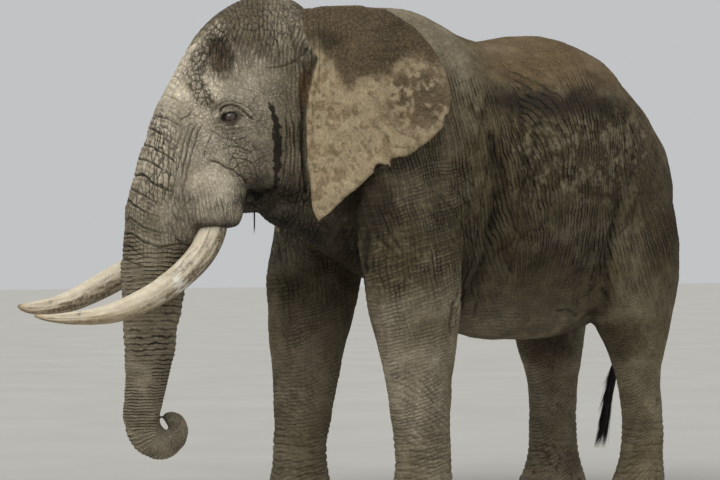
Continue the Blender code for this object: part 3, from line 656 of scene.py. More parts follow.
FACE_FURROWS = [
    # the fold above the jaw, cracks over the cheek
    (0.0085, 0.011, [(0.957, 2.276), (0.866, 2.258), (0.785, 2.215), (0.709, 2.166), (0.661, 2.105)]),
    (0.0055, 0.008, [(0.805, 2.278), (0.735, 2.294), (0.671, 2.269), (0.627, 2.217), (0.608, 2.161),
                     (0.628, 2.12)]),
    (0.005, 0.006, [(0.867, 2.334), (0.798, 2.364), (0.726, 2.36), (0.673, 2.323), (0.616, 2.242)]),
    (0.0045, 0.005, [(0.785, 2.215), (0.734, 2.247), (0.682, 2.239), (0.647, 2.186)]),
    (0.0045, 0.005, [(0.75, 2.354), (0.783, 2.291), (0.801, 2.234)]),
    (0.0045, 0.005, [(0.826, 2.312), (0.76, 2.322), (0.7, 2.3)]),
    (0.0045, 0.004, [(0.7, 2.352), (0.69, 2.3), (0.716, 2.24)]),
    (0.005, 0.005, [(0.611, 2.355), (0.568, 2.281), (0.548, 2.193), (0.512, 2.106)]),
    (0.005, 0.005, [(0.67, 2.386), (0.618, 2.311), (0.592, 2.218)]),
    (0.018, 0.03, [(0.672, 2.092), (0.562, 2.067), (0.504, 2.084), (0.465, 2.125)]),
    (0.008, 0.012, [(0.64, 2.019), (0.572, 1.994), (0.517, 2.004)]),
    # below the eye
    (0.0055, 0.004, [(0.953, 2.479), (0.893, 2.454), (0.822, 2.404), (0.739, 2.404), (0.679, 2.429)]),
    (0.0045, 0.003, [(0.613, 2.55), (0.64, 2.5), (0.62, 2.44), (0.64, 2.4)]),
    # from the temple down to the throat, behind the gland's streak
    (0.007, 0.014, [(0.448, 2.584), (0.432, 2.459), (0.43, 2.308), (0.448, 2.156)]),
    (0.007, 0.014, [(0.411, 2.611), (0.385, 2.485), (0.369, 2.308), (0.371, 2.144)]),
    (0.006, 0.01, [(0.428, 2.54), (0.405, 2.4), (0.398, 2.26), (0.405, 2.12)]),
    (0.008, 0.012, [(0.361, 2.587), (0.33, 2.436), (0.315, 2.259), (0.32, 2.095), (0.34, 1.968)]),
    (0.007, 0.008, [(0.494, 2.081), (0.401, 2.05), (0.318, 2.082)]),
    (0.0045, 0.004, [(0.56, 2.64), (0.52, 2.56), (0.475, 2.48), (0.465, 2.33), (0.475, 2.18)]),
    # below and on the hood over the ear
    (0.0065, 0.006, [(0.6, 2.868), (0.54, 2.86), (0.47, 2.868), (0.41, 2.892), (0.35, 2.93), (0.29, 2.985)]),
    (0.005, 0.006, [(0.612, 3.104), (0.596, 3.026), (0.567, 2.951), (0.539, 2.882)]),
    (0.005, 0.007, [(0.517, 3.159), (0.497, 3.08), (0.481, 2.997), (0.469, 2.899)]),
    (0.0055, 0.008, [(0.407, 3.23), (0.412, 3.146), (0.395, 3.042), (0.365, 2.923)]),
    (0.006, 0.009, [(0.309, 3.25), (0.317, 3.132), (0.287, 3.061), (0.266, 3.009)]),
    # long lines from the eye down the root of the trunk
    (0.006, 0.01, [(0.945, 2.542), (0.999, 2.428), (1.051, 2.289), (1.087, 2.126), (1.104, 2.013)]),
    (0.006, 0.01, [(0.983, 2.53), (1.04, 2.415), (1.079, 2.276), (1.105, 2.114)]),
    (0.006, 0.01, [(1.026, 2.518), (1.076, 2.403), (1.114, 2.252), (1.136, 2.089)]),
    (0.006, 0.01, [(1.065, 2.506), (1.11, 2.392), (1.147, 2.241), (1.17, 2.077)]),
    (0.007, 0.008, [(1.163, 1.988), (1.109, 1.876), (1.032, 1.757)]),
    (0.007, 0.008, [(1.184, 1.901), (1.123, 1.801), (1.063, 1.725)]),
    (0.0045, 0.004, [(1.019, 2.683), (0.963, 2.624)]),
    (0.005, 0.007, [(0.905, 2.44), (0.945, 2.37), (0.968, 2.3)]),
    (0.005, 0.007, [(1.0, 2.6), (1.08, 2.53), (1.13, 2.42), (1.165, 2.29)]),
]

# Those round the eye are in the same plane, measured from its middle.
EYE_FURROWS = [
    # the fold over the upper lid and a faint one beyond it
    (0.0065, 0.0135, [(0.078, -0.03), (0.074, 0.02), (0.054, 0.06), (0.01, 0.074), (-0.038, 0.066),
                      (-0.082, 0.036), (-0.12, -0.006), (-0.155, -0.04)]),
    (0.005, 0.0035, [(0.104, 0.0), (0.092, 0.056), (0.052, 0.092), (0.0, 0.1), (-0.06, 0.086),
                     (-0.118, 0.044), (-0.17, -0.002)]),
    # bags below the eye, and creases behind its corner
    (0.0045, 0.005, [(0.075, -0.036), (0.04, -0.054), (-0.01, -0.056), (-0.06, -0.036)]),
    (0.005, 0.0045, [(0.085, -0.062), (0.03, -0.084), (-0.035, -0.08), (-0.09, -0.05)]),
    (0.0045, 0.003, [(0.07, -0.1), (0.01, -0.112), (-0.05, -0.102), (-0.1, -0.075)]),
    (0.0045, 0.003, [(-0.062, -0.008), (-0.092, -0.014), (-0.128, -0.038)]),
    (0.0045, 0.003, [(-0.06, -0.02), (-0.088, -0.034), (-0.116, -0.062)]),
    (0.0045, 0.003, [(-0.07, 0.01), (-0.104, 0.008), (-0.15, -0.016)]),
]

# Those of the body are in (y, height).
BODY_FURROWS = [
    # behind the shoulder and the upper arm
    (0.034, 0.046, [(0.15, 2.64), (0.191, 2.521), (0.278, 2.297), (0.316, 2.071), (0.307, 1.876),
                    (0.3, 1.697), (0.3, 1.566), (0.25, 1.4)]),
    (0.014, 0.016, [(0.098, 2.745), (0.223, 2.489), (0.302, 2.297), (0.352, 2.135), (0.343, 1.973)]),
    (0.014, 0.013, [(0.325, 2.671), (0.392, 2.492), (0.465, 2.331), (0.504, 2.169), (0.501, 1.974),
                    (0.565, 1.828)]),
    (0.012, 0.01, [(0.374, 2.443), (0.442, 2.298), (0.526, 2.169), (0.558, 2.072)]),
    (0.013, 0.011, [(0.321, 1.876), (0.42, 1.697), (0.531, 1.516)]),
    (0.012, 0.01, [(0.296, 2.394), (0.344, 2.071), (0.444, 1.86), (0.541, 1.746)]),
    (0.01, 0.008, [(0.006, 2.228), (0.139, 2.101), (0.248, 1.957)]),
    (0.01, 0.008, [(-0.061, 2.163), (0.123, 1.988), (0.26, 1.811)]),
    (0.01, 0.008, [(-0.187, 2.096), (0.02, 1.923), (0.242, 1.713)]),
    (0.01, 0.008, [(-0.286, 1.999), (-0.1, 1.809), (0.17, 1.615)]),
    (0.016, 0.02, [(0.056, 1.47), (-0.01, 1.41), (-0.07, 1.345), (-0.078, 1.24), (-0.062, 1.13)]),
    (0.012, 0.012, [(0.11, 1.44), (0.03, 1.37), (-0.02, 1.29), (-0.015, 1.18)]),
    # flank and thigh
    (0.032, 0.026, [(1.322, 2.082), (1.275, 1.814), (1.285, 1.579), (1.346, 1.324), (1.36, 1.2)]),
    (0.012, 0.009, [(1.299, 1.781), (1.435, 1.896)]),
    (0.014, 0.01, [(0.96, 1.3), (1.12, 1.31), (1.28, 1.25)]),
    # front of the shoulder
    (0.014, 0.012, [(-0.64, 1.889), (-0.58, 1.777), (-0.455, 1.631)]),
    (0.013, 0.011, [(-0.59, 2.0), (-0.52, 1.8), (-0.44, 1.65)]),
    (0.014, 0.012, [(-0.635, 1.84), (-0.609, 1.681), (-0.575, 1.538)]),
]

# Deep rings across the front of the trunk's root: height and depth.
TRUNK_RINGS = [(2.7, 0.004), (2.57, 0.006), (2.483, 0.013), (2.375, 0.01), (2.28, 0.006), (2.192, 0.014),
               (2.1, 0.006), (2.012, 0.015), (1.915, 0.007), (1.822, 0.014), (1.745, 0.008), (1.665, 0.012)]


# The ears' lower and front edges: (distance back from the hinge, height) and the other way round.
EAR_LOWER_EDGE = [
    (-0.06, 1.86), (0.028, 1.86), (0.105, 1.93), (0.194, 2.03), (0.271, 2.09), (0.371, 2.175), (0.378, 2.24),
    (0.435, 2.262), (0.472, 2.265), (0.475, 2.24), (0.483, 2.24), (0.486, 2.288), (0.54, 2.295),
    (0.60, 2.305), (0.66, 2.34), (0.735, 2.40), (0.84, 2.48), (0.872, 2.56), (0.93, 2.60),
]  # fmt: skip
EAR_FRONT_EDGE = [(1.88, 0.01), (1.97, -0.005), (2.09, -0.018), (2.3, -0.04), (2.5, -0.045), (2.7, -0.03),
                  (2.84, 0.0), (2.92, 0.03), (3.0, -0.02), (3.1, -0.06)]  # fmt: skip
EAR_TEAR = 0.375  # how far back from the hinge the lower edge is torn

# The pebbled band from the crown down over the temple: (forward, height).
PEBBLED_BAND = [(0.826, 3.15), (0.905, 3.03), (0.955, 2.916), (0.985, 2.785), (0.959, 2.668)]

# The lower edge of the mud on the upper ear: (distance back from the hinge, height).
EAR_MUD_EDGE = [(0.0, 2.98), (0.1, 2.9), (0.2, 2.74), (0.36, 2.77), (0.48, 2.79), (0.63, 2.9), (0.9, 2.84)]

# The temporal gland's streak: (forward, height), and its half width at shares of the way down it.
GLAND_STREAK = [(0.549, 2.64), (0.527, 2.583), (0.503, 2.483), (0.494, 2.357), (0.488, 2.244), (0.486, 2.13)]
STREAK_WIDTHS = [(0.0, 0.002), (0.15, 0.01), (0.35, 0.02), (0.55, 0.029), (0.8, 0.026), (1.0, 0.016)]

# Along the body: how far the upright lines lean, and how high each level line has risen.
LINE_LEAN = [(-0.8, 0.12), (-0.3, 0.18), (0.0, 0.26), (0.25, 0.29), (0.47, 0.45), (0.8, 0.14), (1.1, 0.05),
             (1.35, 0.32), (1.7, 0.42), (2.2, 0.50)]  # fmt: skip
LINE_RISE = [(-0.8, -0.22), (-0.4, -0.12), (0.0, 0.0), (0.3, 0.13), (0.6, 0.18), (1.0, 0.19), (1.3, 0.26),
             (1.6, 0.46), (2.2, 0.88)]  # fmt: skip
UPRIGHT_SPACING = 0.027
LEVEL_SPACING = 0.025


class Skin:
    """The skin's vertices in the body's and the head's frames, with what is known of each place.

    push collects how far each vertex moves out along its normal, and dark how deep in a fold it lies, which
    is painted as shade and dirt in the fold.
    """

    def __init__(self, mesh):
        self.mesh = mesh
        self.places = places_of(mesh)
        self.normals = normals_of(mesh)
        self.head = head_frame(self.places)
        self.push = np.zeros(len(self.places), np.float32)
        self.dark = np.zeros(len(self.places), np.float32)
        self.find_ears()
        self.find_regions()
        self.find_lines()

    def find_ears(self):
        """Which places are on an ear, how far back from its hinge, and how far behind its front edge."""
        z = self.places[:, 2]
        forward, left, _ = self.head.T
        self.ear = np.zeros(len(z), np.float32)
        self.ear_back = np.ones(len(z), np.float32)
        backs, edges = np.array(EAR_LOWER_EDGE).T
        front = np.interp(z, *np.array(EAR_FRONT_EDGE).T)
        for side, sign in SIDES.items():
            turn = EAR_SPREAD[side]
            back, out = EAR_HINGE[0] - forward, left * sign - EAR_HINGE[1]
            along = math.cos(turn) * back + math.sin(turn) * out
            above = math.cos(turn) * out - math.sin(turn) * back
            bow = ear_bow(along, z)
            torn = along > EAR_TEAR
            near = (np.abs(above - bow) < np.where(torn, 0.026, 0.04)) & (along > -0.2) & (along < 0.93)
            near &= z > np.interp(along, backs, edges) - np.where(torn, 0.010, 0.03)
            self.ear = np.maximum(self.ear, near * ramp(along - front, -0.012, 0.008))
            self.ear_back = np.where(np.abs(above - bow) < 0.12, along, self.ear_back)
        self.ear_gap = self.ear_back - front

    def find_regions(self):
        """How much each place belongs to the face, the trunk, the tail, a leg or the body."""
        x, y, z = self.places.T
        forward, left, _ = self.head.T
        flesh = 1 - self.ear
        self.face = flesh * ramp(forward, -0.05, 0.16) * ramp(z, 1.45, 1.7)
        low = ramp(z, 1.80, 1.70) * (forward > 0.75) * (np.abs(left) < 0.34)
        ragged = 0.05 * noise(self.places / 0.07, 2, 2)
        root = ramp(forward + ragged - 1.02 - 0.16 * ramp(z, 2.3, 1.8), -0.06, 0.12) * ramp(z, 2.85, 2.5)
        self.trunk = np.where(z > 1.80, root, np.maximum(root, low)) * (forward > 0.75)
        self.face *= 1 - self.trunk
        rest = flesh * (1 - self.face) * (1 - self.trunk)
        tail = (y > 2.19) & (z < 2.45) & (np.abs(x) < 0.45)
        self.tail = tail * ramp(np.abs(x + 0.1), 0.35, 0.2)
        rest = rest * (1 - self.tail)
        self.leg = rest * ramp(z + 0.12 * noise(self.places / 0.3, 5, 2), 1.75, 1.05)
        self.body = rest - self.leg

    def find_lines(self):
        """Lays two families of long lines over the body, as phases that grow by one from line to line."""
        _, y, z = self.places.T
        lean = np.interp(y, *np.array(LINE_LEAN).T)
        rise = np.interp(y, *np.array(LINE_RISE).T)
        self.upright_phase = (y + lean * (z - 2.0) + self.drift(72)) / UPRIGHT_SPACING
        self.level_phase = (z - rise + self.drift(74)) / LEVEL_SPACING

    def drift(self, seed):
        """How far lines stray, widely and in small ripples."""
        wide = 0.035 * noise(self.places / 0.40, seed, 2)
        return wide + 0.005 * noise(self.places / 0.10, seed + 1, 2)

    def sink(self, near, depth, cut, dark):
        """Sinks places by depth where cut is 1. They end up at least as dark as dark says."""
        self.push[near] -= depth * cut
        self.dark[near] = np.maximum(self.dark[near], dark)

    def furrows(self, listed, across, side, weight):
        """Draws furrows given in the plane of two columns, on each side that faces away from the middle."""
        wobble = 0.006 * np.stack([noise(self.places / 0.05, seed) for seed in (3, 4)], axis=1)
        plane = across + wobble
        for width, depth, path in listed:
            low, high = np.min(path, axis=0) - 4 * width, np.max(path, axis=0) + 4 * width
            inside = (plane > low).all(1) & (plane < high).all(1)
            near = np.flatnonzero(inside & (weight > 0.02) & (side > 0.03))
            away, along = to_polyline(plane[near], path)
            fade = np.minimum(ramp(along, 0, 0.15), ramp(along, 1, 0.85))
            cut = groove(away, width) * fade * weight[near]
            cut *= 0.8 + 0.35 * noise(self.places[near] / 0.05, 6)
            # the deeper a furrow, the more painted shade and dirt it gets
            self.sink(near, depth, cut, np.clip(cut, 0, 1) * min(1, 0.45 + 50 * depth))

    def net(self, weight, sizes, seed, depth, width, warp=0.3, dark=0.75):
        """A net of cracks between cells of the given sizes, where weight is above 0."""
        near = np.flatnonzero(weight > 0.01)
        points = self.places[near] / np.array(sizes, np.float32)
        bend = np.stack([noise(points * 0.6, seed + axis) for axis in range(3)], axis=1)
        cut = cracks(points + warp * bend, seed, width) ** 1.5 * weight[near]
        self.sink(near, depth, cut, dark * cut)

    def rings(self, weight, phase, seed, depth, width, uneven=0.6, dark=1.0):
        """Furrows where phase passes whole numbers, each with a depth of its own that changes along it."""
        near = np.flatnonzero(weight > 0.01)
        phase = phase[near]
        away = np.abs(phase - np.round(phase))
        strength = 1 - uneven * (0.5 + 0.5 * noise(self.places[near] / 0.09, seed))
        cut = (np.exp(-((away / width) ** 2)) - 0.25) * strength * weight[near]
        self.sink(near, depth, cut, dark * np.clip(cut, 0, 1))


def trunk_depth(skin):
    """How far below the curl's middle each place of the trunk is, and from there how far round the curl."""
    forward, _, z = skin.head.T
    turn = np.arctan2(CURL_MIDDLE[1] - z, forward - CURL_MIDDLE[0])
    turn = np.where(turn < -1.2, turn + 2 * math.pi, turn)
    in_curl = (z < CURL_MIDDLE[1]) | ((forward < 1.2) & (z < 0.72))
    return np.where(in_curl, CURL_REACH * turn, CURL_MIDDLE[1] - z)


def fold_trunk(skin):
    """Level rings down the trunk, deep ones near its root and fine close ones lower down."""
    forward, left, z = skin.head.T
    down = trunk_depth(skin) + 0.30 * left**2 + 0.004 * noise(skin.places / 0.14, 21, 2)
    spacing = 0.0190 + 0.008 * ramp(down, -0.3, -0.9)
    phase = down / spacing
    skin.level_phase = np.where(skin.trunk > 0.01, phase, skin.level_phase)
    low = skin.trunk * ramp(z, 1.72, 1.60)
    skin.rings(low, phase, 22, 0.0060, 0.19, uneven=0.35, dark=0.75)
    skin.rings(low * ramp(forward, 1.12, 1.3), (down + 0.01) / 0.083, 23, 0.005, 0.09, dark=0.8)
    high = skin.trunk * ramp(z, 1.55, 1.68)
    level = z + 1.9 * left**2 + 0.014 * noise(skin.places / 0.12, 24, 2)
    for i, (height, depth) in enumerate(TRUNK_RINGS):
        near = np.flatnonzero((np.abs(level - height) < 0.07) & (high > 0.01))
        reach = 0.14 + 6 * depth + 0.05 * math.sin(2.4 * i)
        side = np.abs(left[near] - 0.03 * math.sin(1.7 * i)) + 0.03 * noise(skin.places[near] / 0.06, 30, 2)
        cut = groove(level[near] - height, 0.0075) * high[near] * ramp(side, reach + 0.09, reach - 0.05)
        cut *= 0.80 + 0.30 * noise(skin.places[near] / 0.07, 25)
        skin.sink(near, 1.15 * depth, cut, np.clip(1.4 * cut, 0, 1))
    skin.rings(high, level / 0.030, 26, 0.0046, 0.16, uneven=0.9)
    around = np.arctan2(left, forward - 1.2) * 0.2 / 0.024 + 0.6 * noise(skin.places / 0.08, 27, 2)
    skin.rings(np.maximum(high, low * 0.3), around, 28, 0.0036, 0.16, uneven=0.8)
    skin.push += skin.trunk * 0.009 * noise(skin.places / 0.11, 29, 2)


def fold_legs(skin):
    """Level folds round the ankles and knees, slanting ones at the wrists."""
    _, y, z = skin.places.T
    wave = 0.020 * noise(skin.places / 0.16, 31, 2)
    ankle = skin.leg * ramp(z, 0.10, 0.17) * ramp(z, 0.70, 0.45)
    skin.rings(ankle, (z + wave) / 0.047, 32, 0.0110, 0.12, uneven=0.6)
    skin.rings(ankle * 0.8, (z + 1.3 * wave) / 0.021, 33, 0.0034, 0.2, uneven=0.5)
    knee = skin.leg * ramp(z, 0.38, 0.55)
    skin.net(knee, (0.11, 0.11, 0.026), 34, 0.0020, 0.35, dark=0.35)
    skin.rings(knee, (z + 1.5 * wave) / 0.026, 35, 0.0024, 0.17, uneven=1.1)
    # folds that slant down towards the back of the wrist
    wrist = skin.leg * ramp(z, 0.40, 0.50) * ramp(z, 1.05, 0.85) * ramp(y, 0.8, 0.5)
    skin.rings(wrist, (z + 0.75 * y + 1.2 * wave) / 0.044, 37, 0.0080, 0.12, uneven=0.6)
    # small cells all over the feet, which stay flat below
    skin.net(skin.leg * ramp(z, 0.16, 0.05) + ankle * 0.5, (0.03, 0.03, 0.03), 36, 0.0025, 0.4, dark=0.5)
    skin.push *= ramp(z, 0.0, 0.03)


def fold_body(skin):
    """Long crossing lines all over the body, with deep folds where the skin hangs or is drawn together."""
    x, y, z = skin.places.T
    weight = skin.body + 0.3 * skin.leg
    above = ramp(z, 2.6, 3.0)
    skin.net(weight * (0.6 + 0.4 * above), (0.050, 0.040, 0.080), 42, 0.0030, 0.30, dark=0.30)
    shoulder = ramp(y, 0.28, 0.0) * ramp(z, 2.5, 2.1)
    skin.rings(weight * (1 - 0.7 * above), skin.upright_phase / 2, 46, 0.0066, 0.12, uneven=0.5)
    skin.rings(weight * (0.35 + 0.65 * shoulder), skin.level_phase / 2, 66, 0.0060, 0.12, uneven=0.5)
    # long soft folds that hang from the back
    slack = np.minimum(1, 0.35 + ramp(np.abs(y - 0.36), 0.45, 0.1) + 0.7 * ramp(np.abs(y - 1.32), 0.35, 0.05))
    slack *= skin.body * ramp(z, 2.95, 2.55) * ramp(np.abs(x), 0.12, 0.3)
    for size, seed, depth in ((0.085, 44, 0.010), (0.15, 48, 0.012)):
        bend = 0.4 * noise(skin.places / 0.4, seed + 20)[:, None]
        waves = noise(skin.places / np.array((0.5, size, 0.75), np.float32) + bend, seed)
        cut = np.exp(-((waves / 0.055) ** 2)) * slack
        skin.sink(slice(None), depth, cut, 0.75 * cut)
    # level folds under the chest
    chest = skin.body * ramp(y, -0.35, -0.5) * ramp(z, 2.1, 1.9)
    skin.rings(chest, (z + 0.03 * noise(skin.places / 0.15, 70, 2)) / 0.055, 38, 0.0070, 0.14, uneven=0.8)
    skin.push += (skin.body + skin.leg) * 0.008 * noise(skin.places / 0.22, 47, 2)


def fold_face(skin):
    """The forehead's upright lines, the pebbled temple and the finer creases of cheek, lids and sheaths."""
    forward, left, z = skin.head.T
    plain = skin.face * ramp(z, 3.2, 2.9)
    skin.net(plain * 0.6, (0.030, 0.030, 0.030), 51, 0.0016, 0.32, dark=0.5)
    # upright lines on the forehead and behind the jaw, which run on into the neck
    upright = skin.face * np.maximum(ramp(z + 0.1 * forward, 2.75, 2.95), ramp(forward, 0.56, 0.36))
    upright = upright + 0.5 * skin.body * ramp(forward, -0.35, 0.0) * ramp(z, 1.7, 2.0)
    phase = forward + 0.25 * (z - 3) * ramp(z, 2.8, 3.1) + 0.018 * noise(skin.places / 0.15, 52, 2)
    skin.rings(np.minimum(upright, 1), phase / 0.026, 53, 0.0080, 0.15, uneven=0.55)
    # pebbled band from the crown down over the temple
    wobble = 0.02 * noise(skin.places / 0.08, 54)[:, None]
    away, _ = to_polyline(skin.head[:, [0, 2]] + wobble, PEBBLED_BAND)
    pebbled = skin.face * ramp(away, 0.075, 0.030) * ramp(np.abs(left), 0.04, 0.12)
    skin.net(pebbled, (0.034, 0.034, 0.044), 55, 0.0100, 0.24, dark=1.35)
    skin.pebbled = pebbled
    sheath = skin.face * ramp(z, 2.20, 2.05) * ramp(forward, 0.68, 0.78)
    phase = (forward - 0.25 * (z - 1.9) + 0.008 * noise(skin.places / 0.09, 56, 2)) / 0.024
    skin.rings(sheath, phase, 57, 0.0028, 0.17)
    cheek = skin.face * ramp(np.hypot(forward - 0.69, z - 2.26), 0.20, 0.08)
    skin.net(cheek, (0.060, 0.060, 0.060), 58, 0.0062, 0.14, warp=0.5, dark=0.8)
    # small wrinkles round the eye and below it
    lids = skin.face * ramp(np.hypot(forward - 0.75, (z - 2.50) / 0.9), 0.24, 0.12)
    skin.net(lids, (0.055, 0.055, 0.016), 59, 0.0015, 0.28, dark=0.4)


def fold_ears(skin):
    """Faint rays over the ears, creases at their hinges and the deep channel behind the jaw."""
    back, z = skin.ear_back, skin.places[:, 2]
    rays = np.arctan2(z - 2.9, back + 0.15) * 9 + 0.8 * noise(skin.places / 0.18, 61, 2)
    skin.rings(skin.ear * ramp(back, 0.0, 0.15), rays, 62, 0.0020, 0.07, uneven=1.0)
    skin.push += skin.ear * 0.012 * noise(skin.places / 0.15, 63, 2)
    skin.rings(skin.ear * ramp(back, 0.25, 0.05) * ramp(z, 2.6, 2.9), back / 0.035, 64, 0.005, 0.16)
    skin.net(skin.ear * 0.5, (0.030, 0.030, 0.030), 67, 0.0015, 0.4, dark=0.3)
    # a hollow over the hinge
    hollow = np.exp(-(((back - 0.09) / 0.10) ** 2) - ((z - 3.04) / 0.06) ** 2)
    skin.push -= 0.012 * skin.ear * hollow
    # the ear's front edge rolls outwards over a deep channel behind the jaw
    wide = 0.011 + 0.020 * ramp(z, 2.50, 2.80)
    inside = skin.face * (skin.ear_gap < 0.01) * ramp(z, 1.85, 2.0) * ramp(z, 2.98, 2.86)
    notch = np.exp(-(((skin.ear_gap + 0.6 * wide + 0.01) / wide) ** 2))
    skin.push -= inside * 0.034 * notch
    rim = np.exp(-(((skin.ear_gap - 0.016) / 0.018) ** 2)) * ramp(z, 1.86, 2.0) * ramp(z, 2.95, 2.85)
    skin.push += 0.016 * skin.ear * rim
    # channel also says how much painted shade the channel behind the jaw gets
    skin.channel = inside * notch * (0.55 + 0.30 * ramp(z, 2.45, 2.75))


def shape_eye(skin, side):
    """Sinks a socket for the eyeball, closes lids round it and folds the skin about them."""
    sign = SIDES[side]
    middle = np.array(EYE_AT[side], np.float32)
    near = np.flatnonzero(np.linalg.norm(skin.places - middle, axis=1) < 0.17)
    ahead, out, up = (skin.head[near] - head_frame(middle)).T
    out = out * sign
    tilt = math.radians(8)
    ahead, up = ahead * math.cos(tilt) - up * math.sin(tilt), up * math.cos(tilt) + ahead * math.sin(tilt)
    # far is 1 at the edge of the opening between the lids
    half_wide = LID_OPENING[0] * (1 + 0.15 * ramp(ahead, 0.0, 0.03))
    far = np.hypot(ahead / half_wide, up / np.where(up > 0, LID_OPENING[1], LID_OPENING[2]))
    flat = np.hypot(ahead, up)
    ball = np.sqrt(np.maximum(EYE_RADIUS**2 - flat**2, 0))
    lid = np.sqrt(np.maximum((EYE_RADIUS + 0.007) ** 2 - flat**2, 0))
    goal = np.where(far < 1, ball - 0.014, lid)
    goal = goal + (lid - goal) * ramp(far, 0.90, 1.02)
    moved = out + (goal - out) * ramp(far, 2.3, 1.35) * (out > -0.02)
    # the heavy upper lid hangs over the ball, the lower one is a thinner roll
    above = ramp(up, -0.006, 0.010)
    moved += 0.014 * np.exp(-(((far - 1.45) / 0.33) ** 2)) * above
    moved += 0.006 * np.exp(-(((far - 1.32) / 0.20) ** 2)) * (1 - above)
    moved -= 0.003 * groove(far + 0.05 * noise(skin.places[near] / 0.02, 71) - 1.20, 0.06)
    # the lids' edges are painted dark, as wet skin and as painted shade round the ball, most of all below the
    # ball and in its front corner
    wet = ramp(far, 1.42 + 0.32 * (1 - above), 1.06) * (0.65 + 0.35 * ramp(ahead, -0.02, 0.03))
    skin.dark[near] = np.maximum(skin.dark[near], np.clip(wet, 0, 1))
    skin.places[near] += ((moved - out) * sign)[:, None] * np.array(LEFT, np.float32)
    skin.push[near] *= ramp(far, 1.3, 1.9)


def split_finer(obj, chosen):
    """Splits the chosen faces in four."""
    bm = bmesh.new()
    bm.from_mesh(obj.data)
    bm.faces.ensure_lookup_table()
    edges = dict.fromkeys(edge for i in chosen for edge in bm.faces[i].edges)
    bmesh.ops.subdivide_edges(bm, edges=list(edges), cuts=1, use_grid_fill=True)
    bm.to_mesh(obj.data)
    bm.free()


def face_middles(mesh):
    """The middles of the faces in the head's frame."""
    middles = np.empty(3 * len(mesh.polygons), np.float32)
    mesh.polygons.foreach_get("center", middles)
    return head_frame(middles.reshape(-1, 3))


def unwrap(obj):
    """Makes the UV map named OFBake, from the smooth shape."""
    for other in bpy.context.selected_objects:
        other.select_set(False)
    bpy.context.view_layer.objects.active = obj
    obj.select_set(True)
    bpy.ops.object.mode_set(mode="EDIT")
    bpy.ops.mesh.select_all(action="SELECT")
    bpy.ops.uv.smart_project(angle_limit=math.radians(70), island_margin=0.002)
    bpy.ops.object.mode_set(mode="OBJECT")
    obj.data.uv_layers[0].name = "OFBake"


def wrinkled_skin():
    """The whole skin with its folds, and with the tone of each place as attributes."""
    obj = rough_skin()
    unwrap(obj)
    # the head and trunk are split finer than the body, and the eyes once more
    forward, left, z = face_middles(obj.data).T
    split_finer(obj, np.flatnonzero((forward > 0.16) & (z > 0.3) & (np.abs(left) < 0.46)))
    forward, left, z = face_middles(obj.data).T
    close = np.hypot(forward - 0.74, z - 2.42) < 0.30
    split_finer(obj, np.flatnonzero(close & (np.abs(left) > 0.15) & (np.abs(left) < 0.42) & (forward > 0.5)))
    modifier(obj, "SMOOTH", factor=0.5, iterations=2)
    skin = Skin(obj.data)
    for fold in (fold_body, fold_legs, fold_face, fold_trunk, fold_ears, fold_by_hand):
        fold(skin)
    skin.places += skin.normals * skin.push[:, None]
    skin.places[:, 2] = np.maximum(skin.places[:, 2], 0)
    move_to(obj.data, skin.places)
    paint(skin)
    obj.data.update()
    return obj


def fold_by_hand(skin):
    """The furrows that are placed one by one, and the eyes."""
    out = np.abs(skin.places[:, 0])
    skin.furrows(BODY_FURROWS, skin.places[:, 1:], out, skin.body + skin.leg)
    out = np.abs(skin.head[:, 1])
    on_face = np.minimum(1, 1.8 * np.maximum(skin.face, skin.trunk))
    skin.furrows(FACE_FURROWS, skin.head[:, [0, 2]], out, on_face)
    for side in SIDES:
        shape_eye(skin, side)
    eye = head_frame(np.array(EYE_AT["left"], np.float32))
    skin.furrows(EYE_FURROWS, (skin.head - eye)[:, [0, 2]], out, skin.face)


